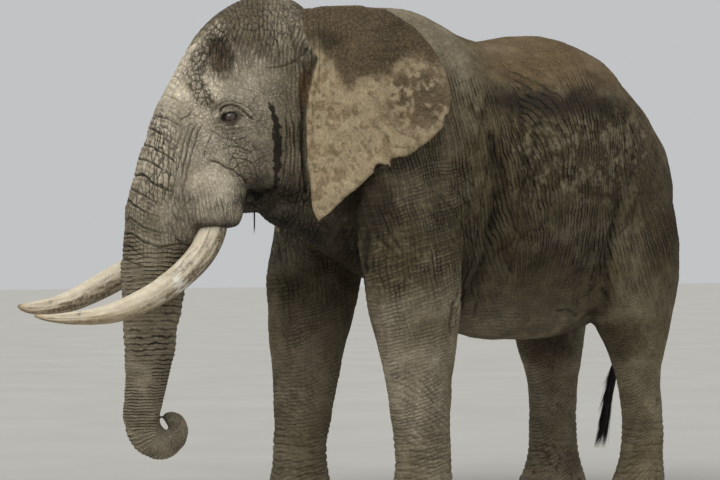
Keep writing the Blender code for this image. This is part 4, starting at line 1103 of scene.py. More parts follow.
class Painter:
    """Works out what is painted on the folded skin. Each layer is from 0 to 1 for each vertex."""

    def __init__(self, skin):
        self.skin = skin
        self.x, self.y, self.z = skin.places.T
        self.forward, self.left, _ = skin.head.T
        self.rough = noise(skin.places / 0.09, 81, 4)
        self.fine = noise(skin.places / 0.03, 82, 3)
        self.broad = noise(skin.places / 0.30, 83, 2)
        # the planes that marks are placed in: on the head, on the body and on the ears
        self.face_plane = np.stack([self.forward, self.z], axis=1)
        self.flank = np.stack([self.y, self.z], axis=1)
        self.ear_plane = np.stack([skin.ear_back, self.z], axis=1)

    def spot(self, plane, middle, size, soft=0.45):
        """A ragged oval spot with a soft border."""
        far = np.linalg.norm((plane - np.array(middle, np.float32)) / np.array(size, np.float32), axis=1)
        return ramp(far + 0.30 * self.rough + 0.12 * self.fine, 1 + soft, 1 - soft)

    def canal(self):
        """The ochre patch in front of the ear's hinge."""
        patch = self.spot(self.face_plane, (0.318, 2.74), (0.042, 0.13), 0.3)
        return self.skin.face * patch * ramp(np.abs(self.left), 0.2, 0.3)

    def band(self):
        """The dark band below the ridge of the back."""
        level = np.exp(-(((self.z + 0.04 * self.rough - 2.69) / 0.095) ** 2))
        return level * ramp(self.y, 0.10, 0.35) * ramp(self.y, 1.45, 1.10)

    def ear_mud(self):
        """The upper ear is darker, down to a wavy edge, and so are blotches on its rear lobe."""
        back, z, rough, fine = self.skin.ear_back, self.z, self.rough, self.fine
        edge = np.interp(back, *np.array(EAR_MUD_EDGE).T)
        top = ramp(z + 0.07 * rough + 0.04 * fine, edge - 0.06, edge + 0.08)
        far = np.hypot((back - 0.68) / 0.30, (z - 2.68) / 0.26)
        blotches = ramp(far, 1.25, 0.4) * ramp(rough + 0.9 * fine, -0.75, 0.18)
        rear = ramp(back, 0.80, 0.86) * ramp(z, 2.60, 2.68)
        specks = 0.45 * ramp(fine + 0.5 * rough, 0.22, 0.42)
        return np.maximum.reduce([top, 0.95 * blotches, 0.80 * rear, specks])

    def face_mud(self):
        """Mud on the crown, a dark spot on the forehead and a fainter one behind it."""
        z, left, face = self.z, self.left, self.skin.face
        crown = ramp(z + 0.07 * self.rough + 0.03 * self.fine, 3.00, 3.20)
        crown = crown * (0.50 + 0.50 * ramp(self.forward, 0.44, 0.62))
        mud = face * 0.66 * crown * (1 - 0.8 * self.skin.pebbled)
        dark = self.spot(self.face_plane, (0.84, 2.94), (0.085, 0.125)) * ramp(np.abs(left), 0.1, 0.2)
        faint = 0.45 * self.spot(self.face_plane, (0.69, 3.06), (0.17, 0.16))
        return np.maximum.reduce([mud, face * dark, face * faint])

    def body_mud(self):
        """Mud along the back, in mottles on the flank, on the rump and knees, and splashed up the legs."""
        y, z, rough, fine, broad = self.y, self.z, self.rough, self.fine, self.broad
        back = 0.35 * ramp(z + 0.10 * rough + 0.05 * fine, 2.46, 2.66) * ramp(y + 0.1 * rough, 0.05, 0.45)
        mottles = ramp(fine + 0.8 * rough + 0.3 * broad, 0.04, 0.22) * ramp(z, 1.85, 2.20)
        mottles *= ramp(y, 0.20, 0.45) * ramp(y, 1.9, 1.5) * ramp(z, 2.80, 2.66)
        rump = self.spot(self.flank, (1.78, 2.03), (0.30, 0.36))
        knees = self.spot(self.flank, (1.42, 1.08), (0.22, 0.15))
        splashes = ramp(fine + 0.5 * rough, 0.36, 0.5) * ramp(z, 1.0, 0.8) * ramp(broad, -0.1, 0.2)
        splashes *= 0.2 + 0.8 * ramp(y, 0.8, 1.2)
        body, leg = self.skin.body, self.skin.leg
        on_body = body * np.maximum.reduce([back, self.band(), 0.95 * mottles, 0.75 * rump])
        return np.maximum.reduce([on_body, (leg + body) * 0.9 * knees, 0.75 * leg * splashes])

    def face_dust(self):
        """Pale dust all over the face, thick on the forehead and the pebbled band, thin behind the eye."""
        z, forward, face = self.z, self.forward, self.skin.face
        front = ramp(forward, 0.30, 0.72) * ramp(z + 0.08 * self.rough, 3.14, 2.92)
        hood = ramp(z, 2.86, 2.94) * ramp(forward, 0.22, 0.32) * ramp(forward, 0.62, 0.52)
        dust = np.maximum(face * np.maximum(front, 0.34), 0.55 * face * hood)
        dust = dust * (1 + 0.45 * ramp(z, 2.70, 2.90) * ramp(forward, 0.80, 0.98))
        dust = dust * (1 - 0.22 * face * self.spot(self.face_plane, (0.66, 2.40), (0.17, 0.26)))
        return np.maximum(dust, 0.95 * self.skin.pebbled)

    def leg_dust(self):
        """Dust on the legs, most of it on the near front leg and the far hind one."""
        front = ramp(self.y, 0.7, 0.3) * ramp(self.x, 0.0, 0.2)
        hind = ramp(self.y, 0.8, 1.2) * ramp(self.x, 0.1, -0.1)
        return self.skin.leg * (0.27 + 0.33 * front + 0.12 * hind) * (0.85 + 0.45 * self.broad)

    def body_dust(self):
        """Faint clouds of dust on the body, more of it over the shoulder, and pale flecks on the flank."""
        y, z, rough = self.y, self.z, self.rough
        clouds = 0.02 + 0.13 * ramp(self.broad + 0.5 * rough, 0.1, 0.5)
        nape = 0.30 * ramp(y, 0.30, 0.0) * ramp(z, 2.55, 2.85)
        flecks = 0.17 * ramp(self.fine + 0.8 * rough, 0.0, -0.25) * ramp(z, 1.9, 2.15) * ramp(z, 2.64, 2.54)
        flecks *= ramp(y, 0.35, 0.55) * ramp(y, 1.6, 1.3)
        return self.skin.body * np.maximum.reduce([clouds, nape, flecks])

    def mud(self):
        """All the mud, on the head, ears, body and legs."""
        return np.maximum.reduce([self.face_mud(), 0.9 * self.skin.ear * self.ear_mud(), self.body_mud()])

    def dust(self):
        """All the dust. Little of it lies on the lower legs, and it is taken out of the channel behind the
        jaw, which is painted as shade.
        """
        z, skin = self.z, self.skin
        on_trunk = 0.40 + 0.68 * ramp(z + 0.1 * self.rough, 1.8, 2.6) + 0.04 * ramp(z, 0.95, 0.6)
        dust = self.face_dust() + skin.trunk * on_trunk
        on_ear = skin.ear * (0.84 + 0.16 * self.rough)
        dust = np.maximum.reduce([dust, on_ear, self.leg_dust(), self.body_dust()])
        dust *= 1 - 0.30 * skin.leg * ramp(z, 0.85, 0.5)
        # the channel keeps no dust, so that it shows dark as painted shade
        return dust * (1 - 0.75 * skin.channel)

    def ochre(self, mud):
        """Ochre in front of the ear's hinge, in blotches on the ear and along the back."""
        skin, rough, fine = self.skin, self.rough, self.fine
        lobe = skin.ear * self.spot(self.ear_plane, (0.68, 2.66), (0.26, 0.26)) * ramp(fine, -0.2, 0.25)
        blotches = 0.45 * skin.ear * ramp(rough + 0.6 * fine, 0.12, 0.34)
        ochre = np.maximum.reduce([self.canal(), 0.55 * lobe, blotches]) * (1 - 0.75 * skin.ear * mud)
        return np.maximum(ochre, 0.40 * skin.body * ramp(self.z, 2.72, 2.84) * ramp(self.y, 0.15, 0.45))

    def gland_streak(self):
        """The dark streak that runs down from the temporal gland, widest below its middle."""
        away, along = to_polyline(self.face_plane, GLAND_STREAK)
        wide = np.interp(along, *np.array(STREAK_WIDTHS).T)
        ragged = 0.014 * self.rough + 0.016 * self.fine
        return ramp(away + ragged, wide + 0.006, wide - 0.004) * self.skin.face

    def stain_and_shade(self):
        """Wet stains and painted shade: the gland's streak and the band on the back, and painted shade in
        deep hollows, below the ear, over the shoulder and on all undersides, with the lower rump darker.
        """
        x, y, z, skin, spot = self.x, self.y, self.z, self.skin, self.spot
        # painted shade in the recess of the mouth, below the fold over the jaw
        mouth_shade = 0.80 * skin.face * spot(self.face_plane, (0.56, 2.01), (0.20, 0.09), 0.3)
        mouth_shade *= ramp(z, 2.12, 2.07)
        # painted shadow below the ear, behind the jaw
        shadow_under_ear = 0.82 * (1 - skin.ear) * spot(self.face_plane, (-0.05, 1.98), (0.20, 0.17))
        shadow_under_ear *= ramp(x, 0.0, 0.2)
        # painted shade over the shoulder, and the lower rump made darker
        shoulder = 0.34 * skin.body * spot(self.flank, (-0.30, 2.05), (0.34, 0.34))
        rump = 0.20 * skin.body * ramp(y, 1.2, 1.5) * ramp(z, 2.4, 2.1)
        # painted shade in the hollow over the ear's hinge
        hinge = 0.55 * skin.ear * spot(self.ear_plane, (0.09, 3.04), (0.13, 0.06))
        # painted shade on all undersides and on the inner sides of the legs and body
        under = (skin.body + skin.face) * ramp(skin.normals[:, 2], 0.1, -0.8) * 0.78
        inner_side_shade = (skin.leg + skin.body) * ramp(skin.normals[:, 0] * np.sign(x), 0.0, -0.6) * 0.42
        # the gland's streak and the band are wet stains, and the channel behind the jaw gets painted shade
        layers = [self.gland_streak(), mouth_shade, 0.60 * skin.channel, shadow_under_ear, 0.74 * skin.body * self.band()]
        layers += [shoulder, rump, hinge, under, inner_side_shade * ramp(z, 0.7, 1.3)]
        return np.maximum.reduce(layers) * (1 - 0.85 * self.canal())


def paint(skin):
    """Stores how muddy, dusty and ochre the skin is, its stains and painted shade, the painted shade and dirt
    in its folds, and how it is lined.
    """
    painter = Painter(skin)
    mud = painter.mud()
    store(skin.mesh, "tone", mud, painter.dust(), painter.stain_and_shade())
    # form holds the painted shade and dirt of folds and lids, the ochre, and where the ears are
    store(skin.mesh, "form", np.clip(skin.dark, 0, 1), painter.ochre(mud), skin.ear)
    store_lines(skin, painter, mud)


def store_lines(skin, painter, mud):
    """Stores how strongly the skin is lined upright, across and in a net, where its long lines run, and the
    painted light on the forehead.
    """
    _, y, z = skin.places.T
    patch = 0.75 + 0.35 * noise(skin.places / 0.16, 84, 2)
    shoulder = ramp(y, 0.28, 0.0) * ramp(z, 2.5, 2.1)
    thigh = ramp(y, 1.25, 1.5) * ramp(z, 2.2, 1.9)
    upright_strokes = skin.body * (1.0 - 0.55 * ramp(z, 2.75, 3.0)) + skin.leg * 0.30
    level_strokes = skin.body * (0.38 + 0.50 * np.maximum(shoulder, 0.5 * thigh)) + skin.leg * 0.60
    level_strokes += 1.1 * skin.trunk * ramp(z, 2.2, 1.7)
    # pale is painted light: the forehead, which faces up to the light, is painted paler
    pale = skin.face * painter.spot(painter.face_plane, (1.00, 2.86), (0.16, 0.28)) * (1 - skin.pebbled)
    store(skin.mesh, "strokes", upright_strokes * patch, level_strokes * patch, pale)
    phases = [phase / PHASE_RANGE + 0.5 for phase in (skin.upright_phase, skin.level_phase)]
    store(skin.mesh, "phases", *phases)
    forehead = ramp(z + 0.1 * painter.forward, 2.75, 2.95)
    upright = skin.face * (0.35 + 0.65 * forehead + 0.7 * ramp(z, 2.2, 2.0))
    upright = upright + skin.trunk * 0.85 * ramp(z, 1.5, 1.9)
    across = 0.22 * skin.trunk * ramp(z, 2.3, 1.6) + skin.tail
    net = skin.face * (0.85 - 0.40 * ramp(z, 2.9, 3.1)) + skin.body * 0.35 + skin.leg * 0.20
    net = net + 0.22 * skin.trunk + skin.ear * (0.12 + 0.45 * mud)
    smooth = 1 - 0.6 * skin.face * painter.spot(painter.face_plane, (0.92, 2.14), (0.15, 0.13), 0.5)
    store(skin.mesh, "lines", upright * patch * smooth, across * patch, net * patch * smooth)
    down = np.where(z < 1.5, -trunk_depth(skin), z - CURL_MIDDLE[1])
    down = np.where(skin.trunk > 0.5, down, z)
    store(skin.mesh, "down", down / HEIGHT_RANGE + 0.25)


def store(mesh, name, *columns):
    """Keeps up to three numbers from 0 to 1 for each vertex, as an attribute."""
    layer = mesh.attributes.new(name, "FLOAT_COLOR", "POINT")
    values = np.zeros((len(mesh.vertices), 4), np.float32)
    values[:, 3] = 1
    for i, column in enumerate(columns):
        values[:, i] = np.clip(column, 0, 1)
    layer.data.foreach_set("color", values.ravel())


# Eyes, tusks, nails and hairs.


def eyeball(side):
    """A ball that looks ahead, outwards and a little down, with a clear bulge over the iris."""
    gaze = (FORWARD * 0.42 + LEFT * SIDES[side] - UP * 0.22).normalized()
    turn = gaze.to_track_quat("Z", "Y").to_matrix().to_4x4()
    ball = ellipsoid(f"eyeball_{side}", Vector(), (1, 1, 1), turn, segments=64)
    unit = places_of(ball.data)
    away = np.arccos(np.clip(unit @ np.array(gaze, np.float32), -1, 1))
    radius = EYE_RADIUS * (1 + 0.05 * ramp(away, 0.55, 0.2))
    move_to(ball.data, unit * radius[:, None] + np.array(EYE_AT[side], np.float32))
    store(ball.data, "form", away / math.pi)
    return ball


# The tusks' middles and radii: forward, outwards, height and radius.
TUSK_STATIONS = {
    "left": [
        (0.865, 0.247, 1.98, 0.076),
        (0.885, 0.252, 1.84, 0.088),
        (0.955, 0.266, 1.70, 0.087),
        (1.075, 0.286, 1.575, 0.084),
        (1.220, 0.300, 1.468, 0.080),
        (1.370, 0.303, 1.385, 0.074),
        (1.520, 0.297, 1.328, 0.063),
        (1.660, 0.285, 1.300, 0.051),
        (1.810, 0.270, 1.290, 0.038),
        (1.940, 0.255, 1.293, 0.023),
        (2.025, 0.245, 1.308, 0.008),
    ],
    "right": [
        (0.870, 0.247, 1.98, 0.074),
        (0.885, 0.252, 1.84, 0.088),
        (0.960, 0.268, 1.745, 0.090),
        (1.130, 0.290, 1.645, 0.089),
        (1.340, 0.300, 1.548, 0.087),
        (1.500, 0.297, 1.462, 0.079),
        (1.670, 0.285, 1.385, 0.066),
        (1.825, 0.270, 1.350, 0.052),
        (1.950, 0.258, 1.345, 0.036),
        (2.018, 0.248, 1.357, 0.012),
    ],
}


def tusk(side):
    """A tusk with long shallow dents and chips, and its stains as attributes."""
    stations = TUSK_STATIONS[side]
    rings = rings_in_head([(*station, station[3]) for station in stations], SIDES[side])
    made = loft(f"ivory_{side}", rings, LEFT, steps=22, count=64)
    along, around = round_tusk(side, head_frame(places_of(made.data)))
    grain = np.stack([np.cos(around) * 2, np.sin(around) * 2, along * 5], axis=1)

    def streaks(scale, seed, octaves):
        return noise(grain * np.array(scale, np.float32), seed, octaves)

    scratches = streaks((5, 5, 1), 91, 3)
    chips = ramp(streaks((3, 3, 4), 92, 3), 0.30, 0.45) * (0.15 + np.exp(-(((along - 0.37) / 0.09) ** 2)))
    dents = 0.0016 * scratches + 0.0030 * streaks((0.7, 0.7, 2), 93, 2) - 0.0028 * chips
    places = places_of(made.data) + normals_of(made.data) * (dents * ramp(along, 1.0, 0.93))[:, None]
    move_to(made.data, places)
    blotch = streaks((1.2, 1.2, 2), 94, 4)
    smears = ramp(streaks((2.2, 2.2, 1.2), 97, 4), 0.10, 0.36)
    dirt = tusk_dirt(side, along, around, blotch, smears)
    yellowing = np.interp(along, (0.0, 0.4, 0.7, 1.0), (0.5, 0.5, 0.8, 1.0))
    amber = ramp(0.4 * blotch - np.cos(around), -0.25, 0.65) * yellowing
    store(made.data, "tone", dirt * (1 - 0.8 * chips), 0.5 + 0.5 * scratches, chips)
    store(made.data, "form", np.maximum(amber, ramp(along, 0.90, 0.98)))
    return made


def round_tusk(side, head):
    """How far each place is along a tusk, from 0 to 1, and its angle round it from the top."""
    spine = np.array([(f, out * SIDES[side], z) for f, out, z, _ in TUSK_STATIONS[side]], np.float32)
    _, along = to_polyline(head[:, [0, 2]], spine[:, [0, 2]])
    marks = np.linspace(0, 1, len(spine))
    from_middle = head - np.stack([np.interp(along, marks, column) for column in spine.T], axis=1)
    lean = [np.interp(along, marks, column) for column in np.gradient(spine, axis=0).T]
    upper = (lean[0] * from_middle[:, 2] - lean[2] * from_middle[:, 0]) / np.hypot(lean[0], lean[2])
    return along, np.arctan2(from_middle[:, 1], upper)


def tusk_dirt(side, along, around, blotch, smears):
    """Dirt under the tusk, smeared over its root, in a ring and on its tip. The right tusk is dirtier."""
    below = -np.cos(around)
    share = np.interp(along, (0.0, 0.45, 0.62, 0.8, 1.0), (1, 0.95, 0.4, 0.7, 0.9))
    under = ramp(below + 0.55 * blotch, 0.12, 0.62) * share
    if side == "right":
        under = np.maximum(under, ramp(below + 0.9 * blotch, -0.1, 0.5) * ramp(along, 0.92, 0.75))
    root = smears * ramp(along + 0.1 * blotch, 0.52, 0.30) * 0.75
    ring = 0.9 * np.exp(-(((along - 0.77 + 0.01 * blotch) / 0.012) ** 2)) * ramp(blotch, -0.4, 0.2)
    return np.maximum.reduce([under, root, ring, ramp(along + 0.02 * blotch, 0.970, 0.995)])


def nail_places(foot, side):
    """The middle, half width and turn of each nail round the front of a foot."""
    sign = SIDES[side]
    middle, half_sizes, spread, count = {
        "front": (Vector((0.42 * sign, FRONT_FOOT_Y[side] - 0.005, 0)), (0.206, 0.222), 40, 4),
        "hind": (Vector((0.36 * sign, HIND_FOOT_Y[side] - 0.01, 0)), (0.172, 0.208), 46, 3),
    }[foot]
    if foot == "hind" and side == "right":
        half_sizes = (0.190, 0.232)
    for i in range(count):
        turn = math.radians(spread * (i - (count - 1) / 2))
        place = middle + Vector((half_sizes[0] * math.sin(turn), -half_sizes[1] * math.cos(turn), 0.068))
        yield place, 0.054 if abs(turn) < 0.5 else 0.046, turn


def nails(foot, side):
    """The nails of a foot: broad ovals of worn horn with level ridges."""
    made = []
    for place, wide, turn in nail_places(foot, side):
        nail = ellipsoid("nail", Vector(), (1, 1, 1), segments=48)
        unit = places_of(nail.data)
        ridges = 1 + 0.02 * np.sin(unit[:, 2] * 26 + 3 * noise(unit * 1.5, 95))
        ridges += 0.03 * noise(unit * 4, 96, 2)
        shaped = np.sign(unit) * np.abs(unit) ** np.array((0.85, 1.0, 0.80), np.float32)
        shaped *= np.array((wide, 0.026, 0.052), np.float32) * ridges[:, None] * 0.94
        move_to(nail.data, shaped)
        nail.data.transform(Matrix.Translation(place) @ Matrix.Rotation(turn, 4, "Z"))
        made.append(nail)
    return joined(f"nails_{foot}_{side}", made)


def hairs(name, roots, sides=3, steps=5):
    """Tapered hairs. Each root is (start, way out, length, droop, thickness, place on the map)."""
    bm = bmesh.new()
    layer = bm.loops.layers.uv.new("OFBake")
    for start, way, length, droop, thick, place in roots:
        across = way.cross(UP if abs(way.z) < 0.9 else X).normalized()
        loops = []
        for i in range(steps + 1):
            share = i / steps
            middle = start + way * length * share + Vector((0, 0, -droop * share**2))
            radius = thick * (1 - share) ** 0.7 + thick * 0.06
            ring = []
            for k in range(sides):
                angle = 2 * math.pi * k / sides
                turned = Matrix.Rotation(angle, 3, way) @ across
                ring.append(bm.verts.new(middle + turned * radius))
            loops.append(ring)
        made = [bm.faces.new(loops[0][::-1]), bm.faces.new(loops[-1])]
        for i, (near, far) in enumerate(zip(loops, loops[1:])):
            for k in range(sides):
                after = (k + 1) % sides
                made.append(bm.faces.new((near[k], near[after], far[after], far[k])))
        for face in made:
            for j, loop in enumerate(face.loops):
                corner = ((0, 0), (1, 0), (1, 1), (0, 1))[j % 4]
                loop[layer].uv = (place[0] + 0.003 * corner[0], place[1] + 0.003 * corner[1])
    return new_object(name, bm)


def spread_of(count, seed):
    """Rows of six random numbers from 0 to 1 that are the same each time."""
    index = np.arange(count, dtype=np.uint32)
    rows = [hashed(index, index * np.uint32(0) + np.uint32(k), index * np.uint32(0), seed) for k in range(6)]
    return np.stack([row.astype(np.float64) / 2**32 for row in rows], axis=1)


# The line down the last of the tail that its hairs grow along.
TUFT_LINE = [
    (-0.200, 2.235, 1.30),
    (-0.250, 2.200, 1.10),
    (-0.302, 2.158, 0.92),
    (-0.335, 2.130, 0.76),
    (-0.352, 2.112, 0.62),
]
TUFT_END = 0.285  # the height that no hair reaches below


def tail_hairs():
    """The tuft of long stiff hairs down the last of the tail."""
    roots = []
    axis = [Vector(place) for place in TUFT_LINE]
    for a, b, c, d, e, f in spread_of(1100, 101):
        share = a ** 0.75 * (len(axis) - 1)
        i = min(int(share), len(axis) - 2)
        middle = axis[i].lerp(axis[i + 1], share - i)
        down = (axis[i + 1] - axis[i]).normalized()
        flat = 2 * math.pi * b
        out = Vector((math.cos(flat), math.sin(flat), 0))
        start = middle + out * (0.024 - 0.006 * a) * (0.4 + 0.6 * c)
        way = (down + out * (0.02 + 0.09 * d)).normalized()
        length = (0.20 + 0.26 * e) * (0.35 + 0.65 * a)
        length = min(length, (start.z - TUFT_END) / max(-way.z, 0.2))
        roots.append((start, way, length, 0.0, 0.0018 + 0.0014 * f, (0.02 + 0.95 * b, 0.02 + 0.95 * a)))
    return hairs("tail_hairs", roots, steps=4)


def lashes(side):
    """Lashes along the edge of the upper lid."""
    middle = EYE_AT[side]
    roots = []
    for i, (a, b, c, d, e, f) in enumerate(spread_of(34, 102)):
        ahead = LID_OPENING[0] * (-0.8 + 1.6 * (i + a) / 34)
        up = 0.9 * LID_OPENING[1] * (1 - (ahead / LID_OPENING[0]) ** 2)
        out = math.sqrt(max((EYE_RADIUS + 0.004) ** 2 - ahead**2 - up**2, 0))
        start = middle + FORWARD * ahead + LEFT * SIDES[side] * out + UP * (up + 0.001)
        way = LEFT * SIDES[side] * (0.7 + 0.4 * b) - UP * (0.55 + 0.5 * d)
        way += FORWARD * (ahead * 12 + 0.3 * (c - 0.5))
        patch = (0.02 + 0.9 * a, 0.02 + 0.9 * b)
        roots.append((start, way.normalized(), 0.020 + 0.014 * e, 0.002, 0.00045 + 0.0002 * f, patch))
    return hairs(f"lashes_{side}", roots, steps=3)


def chin_hairs():
    """Sparse stiff hairs below the lower lip, one bunch of them long."""
    roots = []
    for a, b, c, d, e, f in spread_of(14, 103):
        start = in_head(0.48 + 0.34 * a, 0.20 * (b - 0.5), 2.00 - 0.03 * a)
        way = (-UP + FORWARD * 0.25 * (c - 0.5) + LEFT * 0.3 * (d - 0.5)).normalized()
        patch = (0.02 + 0.9 * a, 0.02 + 0.9 * b)
        roots.append((start, way, 0.06 + 0.04 * e, 0.0, 0.0009 + 0.0004 * f, patch))
    for a, b, c, d, e, f in spread_of(24, 104):
        start = in_head(0.545 + 0.008 * a, 0.06 + 0.008 * b, 1.985)
        way = (-UP + FORWARD * 0.03 * (c - 0.6) + LEFT * 0.03 * (d - 0.5)).normalized()
        patch = (0.02 + 0.9 * a, 0.02 + 0.9 * b)
        roots.append((start, way, 0.12 + 0.05 * e, 0.0, 0.0016 + 0.0004 * f, patch))
    return hairs("chin_hairs", roots, steps=4)


# Materials.


def material(name, roughness):
    """A material, its shader, a function that adds a node and one that plugs a socket into the shader."""
    made = bpy.data.materials.new(name)
    made.use_nodes = True
    tree = made.node_tree
    shader = tree.nodes["Principled BSDF"]
    shader.inputs["Roughness"].default_value = roughness

    def node(kind, inputs=None, **settings):
        added = tree.nodes.new("ShaderNode" + kind)
        for key, value in settings.items():
            setattr(added, key, value)
        for key, value in (inputs or {}).items():
            if isinstance(value, bpy.types.NodeSocket):
                tree.links.new(value, added.inputs[key])
            else:
                added.inputs[key].default_value = value
        return added

    def use(key, socket):
        tree.links.new(socket, shader.inputs[key])

    return made, shader, node, use


def mixed(node, share, first, second, blend="MIX"):
    """The colour between two, which may be sockets or plain colours."""
    made = node("Mix", data_type="RGBA", blend_type=blend)
    tree = made.id_data
    for index, value in ((0, share), (6, first), (7, second)):
        if isinstance(value, bpy.types.NodeSocket):
            tree.links.new(value, made.inputs[index])
        elif index == 0:
            made.inputs[index].default_value = value
        else:
            made.inputs[index].default_value = (*value, 1)
    return made.outputs[2]


def maths(node, operation, first, second=0.0, third=0.0, clamp=True):
    """The result of a sum, with sockets or numbers as its inputs."""
    made = node("Math", {0: first, 1: second, 2: third}, operation=operation, use_clamp=clamp)
    return made.outputs[0]


def vectors(node, operation, first, second):
    """The result of a sum of vectors."""
    return node("VectorMath", {0: first, 1: second}, operation=operation).outputs[0]


def noises(node, place, scale, detail, roughness=0.5):
    """Noise as a number from 0 to 1 and as a colour."""
    inputs = {"Vector": place, "Scale": scale, "Detail": detail, "Roughness": roughness}
    return node("TexNoise", inputs).outputs


def borders(node, place, scale):
    """Distance from the borders between random cells."""
    cells = node("TexVoronoi", {"Vector": place, "Scale": scale}, feature="DISTANCE_TO_EDGE")
    return cells.outputs["Distance"]


def kept(node, name):
    """The three numbers that store() kept as an attribute."""
    attribute = node("Attribute", attribute_name=name)
    return node("SeparateColor", {"Color": attribute.outputs["Color"]}).outputs


def here(node):
    """The place on the object."""
    return node("TexCoord").outputs["Object"]


def bumps(node, height, strength, distance):
    """The normal of a surface with this height."""
    return node("Bump", {"Height": height, "Strength": strength, "Distance": distance}).outputs["Normal"]


def stretched(node, value, low, high):
    """Takes value from the range low..high to 0..1."""
    made = node("MapRange", {"Value": value, "From Min": low, "From Max": high})
    return made.outputs["Result"]


def skin_material():
    """Dry wrinkled skin with what paint() stored laid over it."""
    made, shader, node, use = material("elephant_skin", 0.88)
    shader.inputs["Specular IOR Level"].default_value = 0.22
    where = here(node)
    grain = noises(node, where, 75.0, 5.0, 0.65)["Fac"]
    swirl = vectors(node, "MULTIPLY", noises(node, where, 11.0, 2.0)["Color"], (0.045,) * 3)
    bent = vectors(node, "ADD", where, swirl)
    lines = maths(node, "MAXIMUM", short_lines(node, bent, swirl), long_lines(node, where))
    use("Base Color", skin_colour(node, where, grain, lines))
    # the same lines as height, with fine cracks and grain
    grainy = maths(node, "MULTIPLY", grain, 0.7, clamp=False)
    tiny = stretched(node, borders(node, bent, 150.0), 0.0, 0.14)
    height = maths(node, "MULTIPLY_ADD", tiny, 0.30, grainy, clamp=False)
    height = maths(node, "MULTIPLY_ADD", lines, -1.0, height, clamp=False)
    use("Normal", bumps(node, height, 0.95, 0.0058))
    stain_and_shade = kept(node, "tone")[2]
    use("Roughness", maths(node, "MULTIPLY_ADD", stain_and_shade, -0.20, 0.90, clamp=False))
    return made


def short_lines(node, bent, swirl):
    """The borders of cells, long and upright on the face, level on the trunk. 1 is on a line."""
    upright, across, net = kept(node, "lines")

    def cracks_between(place, scale, width, strength):
        line = maths(node, "SUBTRACT", 1.0, stretched(node, borders(node, place, scale), 0.02, width))
        return maths(node, "MULTIPLY", line, strength)

    down = maths(node, "MULTIPLY", kept(node, "down")[0], float(HEIGHT_RANGE), clamp=False)
    flat = vectors(node, "MULTIPLY", bent, (0.11, 0.11, 0.0))
    flat = vectors(node, "ADD", flat, node("CombineXYZ", {"Z": down}).outputs[0])
    flat = vectors(node, "ADD", vectors(node, "MULTIPLY", swirl, (0.0, 0.0, 0.25)), flat)
    tall = vectors(node, "MULTIPLY", bent, (1.0, 1.0, 0.20))
    shifted = vectors(node, "ADD", bent, (3.0, 1.0, 2.0))
    fainter = maths(node, "MULTIPLY", net, 0.8)
    found = cracks_between(tall, 34.0, 0.20, upright)
    found = maths(node, "MAXIMUM", found, cracks_between(flat, 46.0, 0.18, across))
    found = maths(node, "MAXIMUM", found, cracks_between(shifted, 34.0, 0.12, net))
    return maths(node, "MAXIMUM", found, cracks_between(bent, 70.0, 0.17, fainter))


def long_lines(node, where):
    """The two families of long lines over body, legs and trunk. 1 is on a line."""
    wander = noises(node, where, 16.0, 3.0)["Fac"]
    fading = node("SeparateColor", {"Color": noises(node, where, 9.0, 3.0)["Color"]}).outputs

    def strokes(phase, strength, fade):
        """Dark lines where the phase passes whole numbers, which waver and fade in and out."""
        wavering = maths(node, "MULTIPLY_ADD", phase, float(PHASE_RANGE), wander, clamp=False)
        between = maths(node, "PINGPONG", wavering, 0.5, clamp=False)
        line = maths(node, "SUBTRACT", 1.0, stretched(node, between, 0.07, 0.29))
        strength = maths(node, "MULTIPLY", strength, stretched(node, fade, 0.24, 0.50))
        return maths(node, "MULTIPLY", line, strength)

    phases, strengths = kept(node, "phases"), kept(node, "strokes")
    upright, level = (strokes(phases[i], strengths[i], fading[i]) for i in range(2))
    return maths(node, "MAXIMUM", upright, level)


def skin_colour(node, where, grain, lines):
    """Bare skin, then dust, mud, ochre, stains and painted shade over it, with painted shade and dirt in
    every fold and line, and painted light on the forehead.
    """
    mud, dust, stain_and_shade = kept(node, "tone")
    shade_and_dirt_in_folds, ochre, ear = kept(node, "form")
    broad = noises(node, where, 1.7, 4.0)["Fac"]
    cloud = noises(node, where, 9.0, 6.0, 0.6)["Fac"]
    bare = mixed(node, stretched(node, broad, 0.35, 0.68), (0.138, 0.110, 0.057), (0.186, 0.152, 0.084))
    bare = mixed(node, stretched(node, cloud, 0.40, 0.68), bare, (0.096, 0.072, 0.037))
    dusty = mixed(node, stretched(node, cloud, 0.35, 0.65), (0.62, 0.545, 0.42), (0.46, 0.395, 0.29))
    dusty = mixed(node, ear, dusty, (0.445, 0.355, 0.225))
    patchy = maths(node, "MULTIPLY_ADD", grain, 0.5, 0.72)
    colour = mixed(node, maths(node, "MULTIPLY", dust, patchy), bare, dusty)
    muddy = mixed(node, stretched(node, grain, 0.40, 0.62), (0.050, 0.034, 0.018), (0.108, 0.077, 0.044))
    # the third layer is wet stains and painted shade, the last one painted shade and dirt in the folds
    for amount, strength, tint in (
        (mud, 0.92, muddy),
        (ochre, 0.70, (0.235, 0.140, 0.064)),
        (stain_and_shade, 0.95, (0.015, 0.0105, 0.006)),
        (shade_and_dirt_in_folds, 0.82, (0.024, 0.018, 0.010)),
    ):
        colour = mixed(node, maths(node, "MULTIPLY", amount, strength), colour, tint)
    pale = kept(node, "strokes")[2]
    # lines and cracks are darkened as painted shade and dirt, and the grain varies the tone at random
    lightness = (
        maths(node, "MULTIPLY_ADD", lines, -0.94, 1.0),
        maths(node, "MULTIPLY_ADD", grain, 1.5, 0.58, clamp=False),
        # painted light that makes the forehead paler
        maths(node, "MULTIPLY_ADD", pale, 0.68, 1.0, clamp=False),
    )
    for factor in lightness:
        grey = node("CombineColor", {0: factor, 1: factor, 2: factor}).outputs[0]
        colour = mixed(node, 1.0, colour, grey, "MULTIPLY")
    return colour


